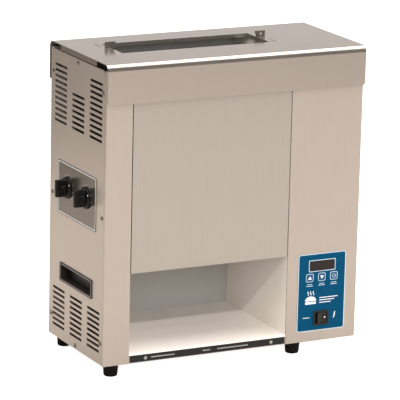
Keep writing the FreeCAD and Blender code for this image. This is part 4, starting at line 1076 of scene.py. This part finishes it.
# %% A tree that grows a wire belt along a path
belt_tree, given, result = new_tree("flat_flex_belt", [
    ("Points Across", "NodeSocketInt"), ("Step Across", "NodeSocketFloat"), ("Joggle", "NodeSocketFloat"),
    ("Pitch", "NodeSocketFloat"), ("Wire Radius", "NodeSocketFloat"), ("Finish", "NodeSocketMaterial")])
step = add(belt_tree, "ShaderNodeCombineXYZ", links={"X": given.outputs["Step Across"]})
row = add(belt_tree, "GeometryNodeMeshLine", links={"Count": given.outputs["Points Across"],
                                                    "Offset": step.outputs["Vector"]})
index = add(belt_tree, "GeometryNodeInputIndex")
phase = add(belt_tree, "ShaderNodeMath", {1: 4.0}, {0: index.outputs["Index"]}, operation="MODULO")
forward = add(belt_tree, "ShaderNodeMath", {1: 1.5}, {0: phase.outputs[0]}, operation="GREATER_THAN")
push = add(belt_tree, "ShaderNodeMath", links={0: forward.outputs[0], 1: given.outputs["Joggle"]},
           operation="MULTIPLY")
shift = add(belt_tree, "ShaderNodeCombineXYZ", links={"Y": push.outputs[0]})
bent = add(belt_tree, "GeometryNodeSetPosition",
           links={"Geometry": row.outputs["Mesh"], "Offset": shift.outputs["Vector"]})
wire_line = add(belt_tree, "GeometryNodeMeshToCurve", links={"Mesh": bent.outputs["Geometry"]})
section = add(belt_tree, "GeometryNodeCurvePrimitiveCircle", {"Resolution": 5},
              {"Radius": given.outputs["Wire Radius"]})
wire = add(belt_tree, "GeometryNodeCurveToMesh", {"Fill Caps": True},
           {"Curve": wire_line.outputs["Curve"], "Profile Curve": section.outputs["Curve"]})
loop = add(belt_tree, "GeometryNodeMeshToCurve", links={"Mesh": given.outputs["Geometry"]})
steps = add(belt_tree, "GeometryNodeResampleCurve",
            links={"Curve": loop.outputs["Curve"], "Length": given.outputs["Pitch"]},
            mode="LENGTH")
tangent = add(belt_tree, "GeometryNodeInputTangent")
turn = add(belt_tree, "FunctionNodeAxesToRotation", {"Secondary Axis": (1.0, 0.0, 0.0)},
           {"Primary Axis": tangent.outputs["Tangent"]}, primary_axis="Y", secondary_axis="X")
placed = add(belt_tree, "GeometryNodeInstanceOnPoints", links={
    "Points": steps.outputs["Curve"], "Instance": wire.outputs["Mesh"], "Rotation": turn.outputs["Rotation"]})
real = add(belt_tree, "GeometryNodeRealizeInstances", links={"Geometry": placed.outputs["Instances"]})
finished = add(belt_tree, "GeometryNodeSetMaterial", links={"Geometry": real.outputs["Geometry"],
                                                            "Material": given.outputs["Finish"]})
belt_tree.links.new(finished.outputs["Geometry"], result.inputs["Geometry"])

# %% The two belts
WIRE_RADIUS, BELT_PITCH, LANES = 0.8 * MM, 7.4 * MM, 13
for side in ("front", "rear"):
    low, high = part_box(f"{side}_belt")
    radius = (high.y - low.y) / 2
    middle_y, run = (low.y + high.y) / 2, radius - 1.0 * MM
    path = []
    for centre_z, first in ((high.z - radius, 0), (low.z + radius, 180)):
        for turn_step in range(25):
            angle = math.radians(first + 180 * turn_step / 24)
            path.append((low.x + WIRE_RADIUS, middle_y + run * math.cos(angle),
                         centre_z + run * math.sin(angle)))
    route = bpy.data.meshes.new(f"{side}_belt_path")
    route.from_pydata(path, [(i, (i + 1) % len(path)) for i in range(len(path))], [])
    across = high.x - low.x - 2 * WIRE_RADIUS
    count = LANES * 4 + 1
    belt = grown(f"{side}_wire_belt", route, belt_tree, {
        "Points Across": count, "Step Across": across / (count - 1), "Joggle": BELT_PITCH * 1.12,
        "Pitch": BELT_PITCH, "Wire Radius": WIRE_RADIUS, "Finish": finishes["belt_wire"]},
        f"{side}_conveyor", 60.0)
    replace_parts(belt, f"{side}_belt")

# %% [markdown]
# ## Cable gland and floor strip
#
# At the back the supply cable would pass through a nylon gland with a ribbed nut. The black strip
# under the landing floor is anodised aluminium; in place of wording it carries a few plain bars.

# %% Gland nut
low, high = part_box("cord_inlet")
centre = ((low.x + high.x) / 2, (low.z + high.z) / 2)
wall_y, tip_y, bore = cabinet_high.y, high.y, 4.5 * MM
outer = (high.x - low.x) / 2
bm = bmesh.new()
turned(bm, "y", centre, [(low.y, bore), (low.y, 7.9 * MM), (wall_y, 7.9 * MM), (wall_y, outer),
                         (wall_y + 1.6 * MM, outer),
                         (wall_y + 1.9 * MM, outer - 0.5 * MM), (wall_y + 2.0 * MM, 9.4 * MM),
                         (tip_y - 1.2 * MM, 9.2 * MM),
                         (tip_y - 0.3 * MM, 8.2 * MM), (tip_y, 7.0 * MM), (tip_y, 5.2 * MM),
                         (tip_y - 0.8 * MM, bore),
                         (low.y, bore)], 48)
RIBS = 12
for rib in range(RIBS):
    angle = math.tau * rib / RIBS
    u, v = centre[0] + 9.6 * MM * math.cos(angle), centre[1] + 9.6 * MM * math.sin(angle)
    plate(bm, "y", (wall_y + 1.9 * MM, tip_y - 1.4 * MM), circle(u, v, 1.0 * MM, 8))
bmesh.ops.remove_doubles(bm, verts=bm.verts, dist=0.001 * MM)
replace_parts(piece("cord_gland_nut", bm, finishes["pocket_plastic"], "cabinet"),
            "cord_inlet")

# %% Plain marks on the floor strip
strip_low, strip_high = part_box("trim_strip")
strip_z, strip_face = (strip_low.z + strip_high.z) / 2, strip_low.y
strip_length = strip_high.x - strip_low.x
on_strip = (strip_face - INK, strip_face)
STRIP_INK = printed("screen_ink_grey", "#8E908F", "#A2A4A2", 0.5)
bm = bmesh.new()
for place, length in ((0.21, 0.15), (0.49, 0.05), (0.66, 0.20)):
    plate(bm, "y", on_strip, rounded_rectangle(strip_low.x + strip_length * place, strip_z,
                                               strip_length * length / 2,
                                               1.0 * MM, 0.8 * MM))
piece("floor_strip_marks", bm, STRIP_INK, "cabinet")

# %% [markdown]
# ## Last step
#
# The landing floor and the walls of the bay are a little duller than the front. Their faces inside
# the bay take a pale copy of the steel, painted light; the back wall and the faces turned away take
# dark copies, painted shade. The size of the dressed model is printed, so that a piece that grew out
# of the machine's real box shows at once.

# %% Bay finish, sizes, end
# Faces looking into the bay take the pale copy, painted light; faces turned away take the dark copy, painted
# shade.
for node, inside in (("landing_floor", Vector((0, 0, 1))), ("left_divider", Vector((1, 0, 0))),
                     ("right_divider", Vector((-1, 0, 0)))):
    sheet = welded_copy(f"{node}_sheet", node, BAY_PAINTED_LIGHT, "cabinet", 0)
    second_finish(sheet, BAY_PAINTED_SHADE, lambda face: face.normal.dot(inside) < TURNED_AWAY)
low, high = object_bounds()
print("visual box", [round(v, 4) for v in low], [round(v, 4) for v in high])
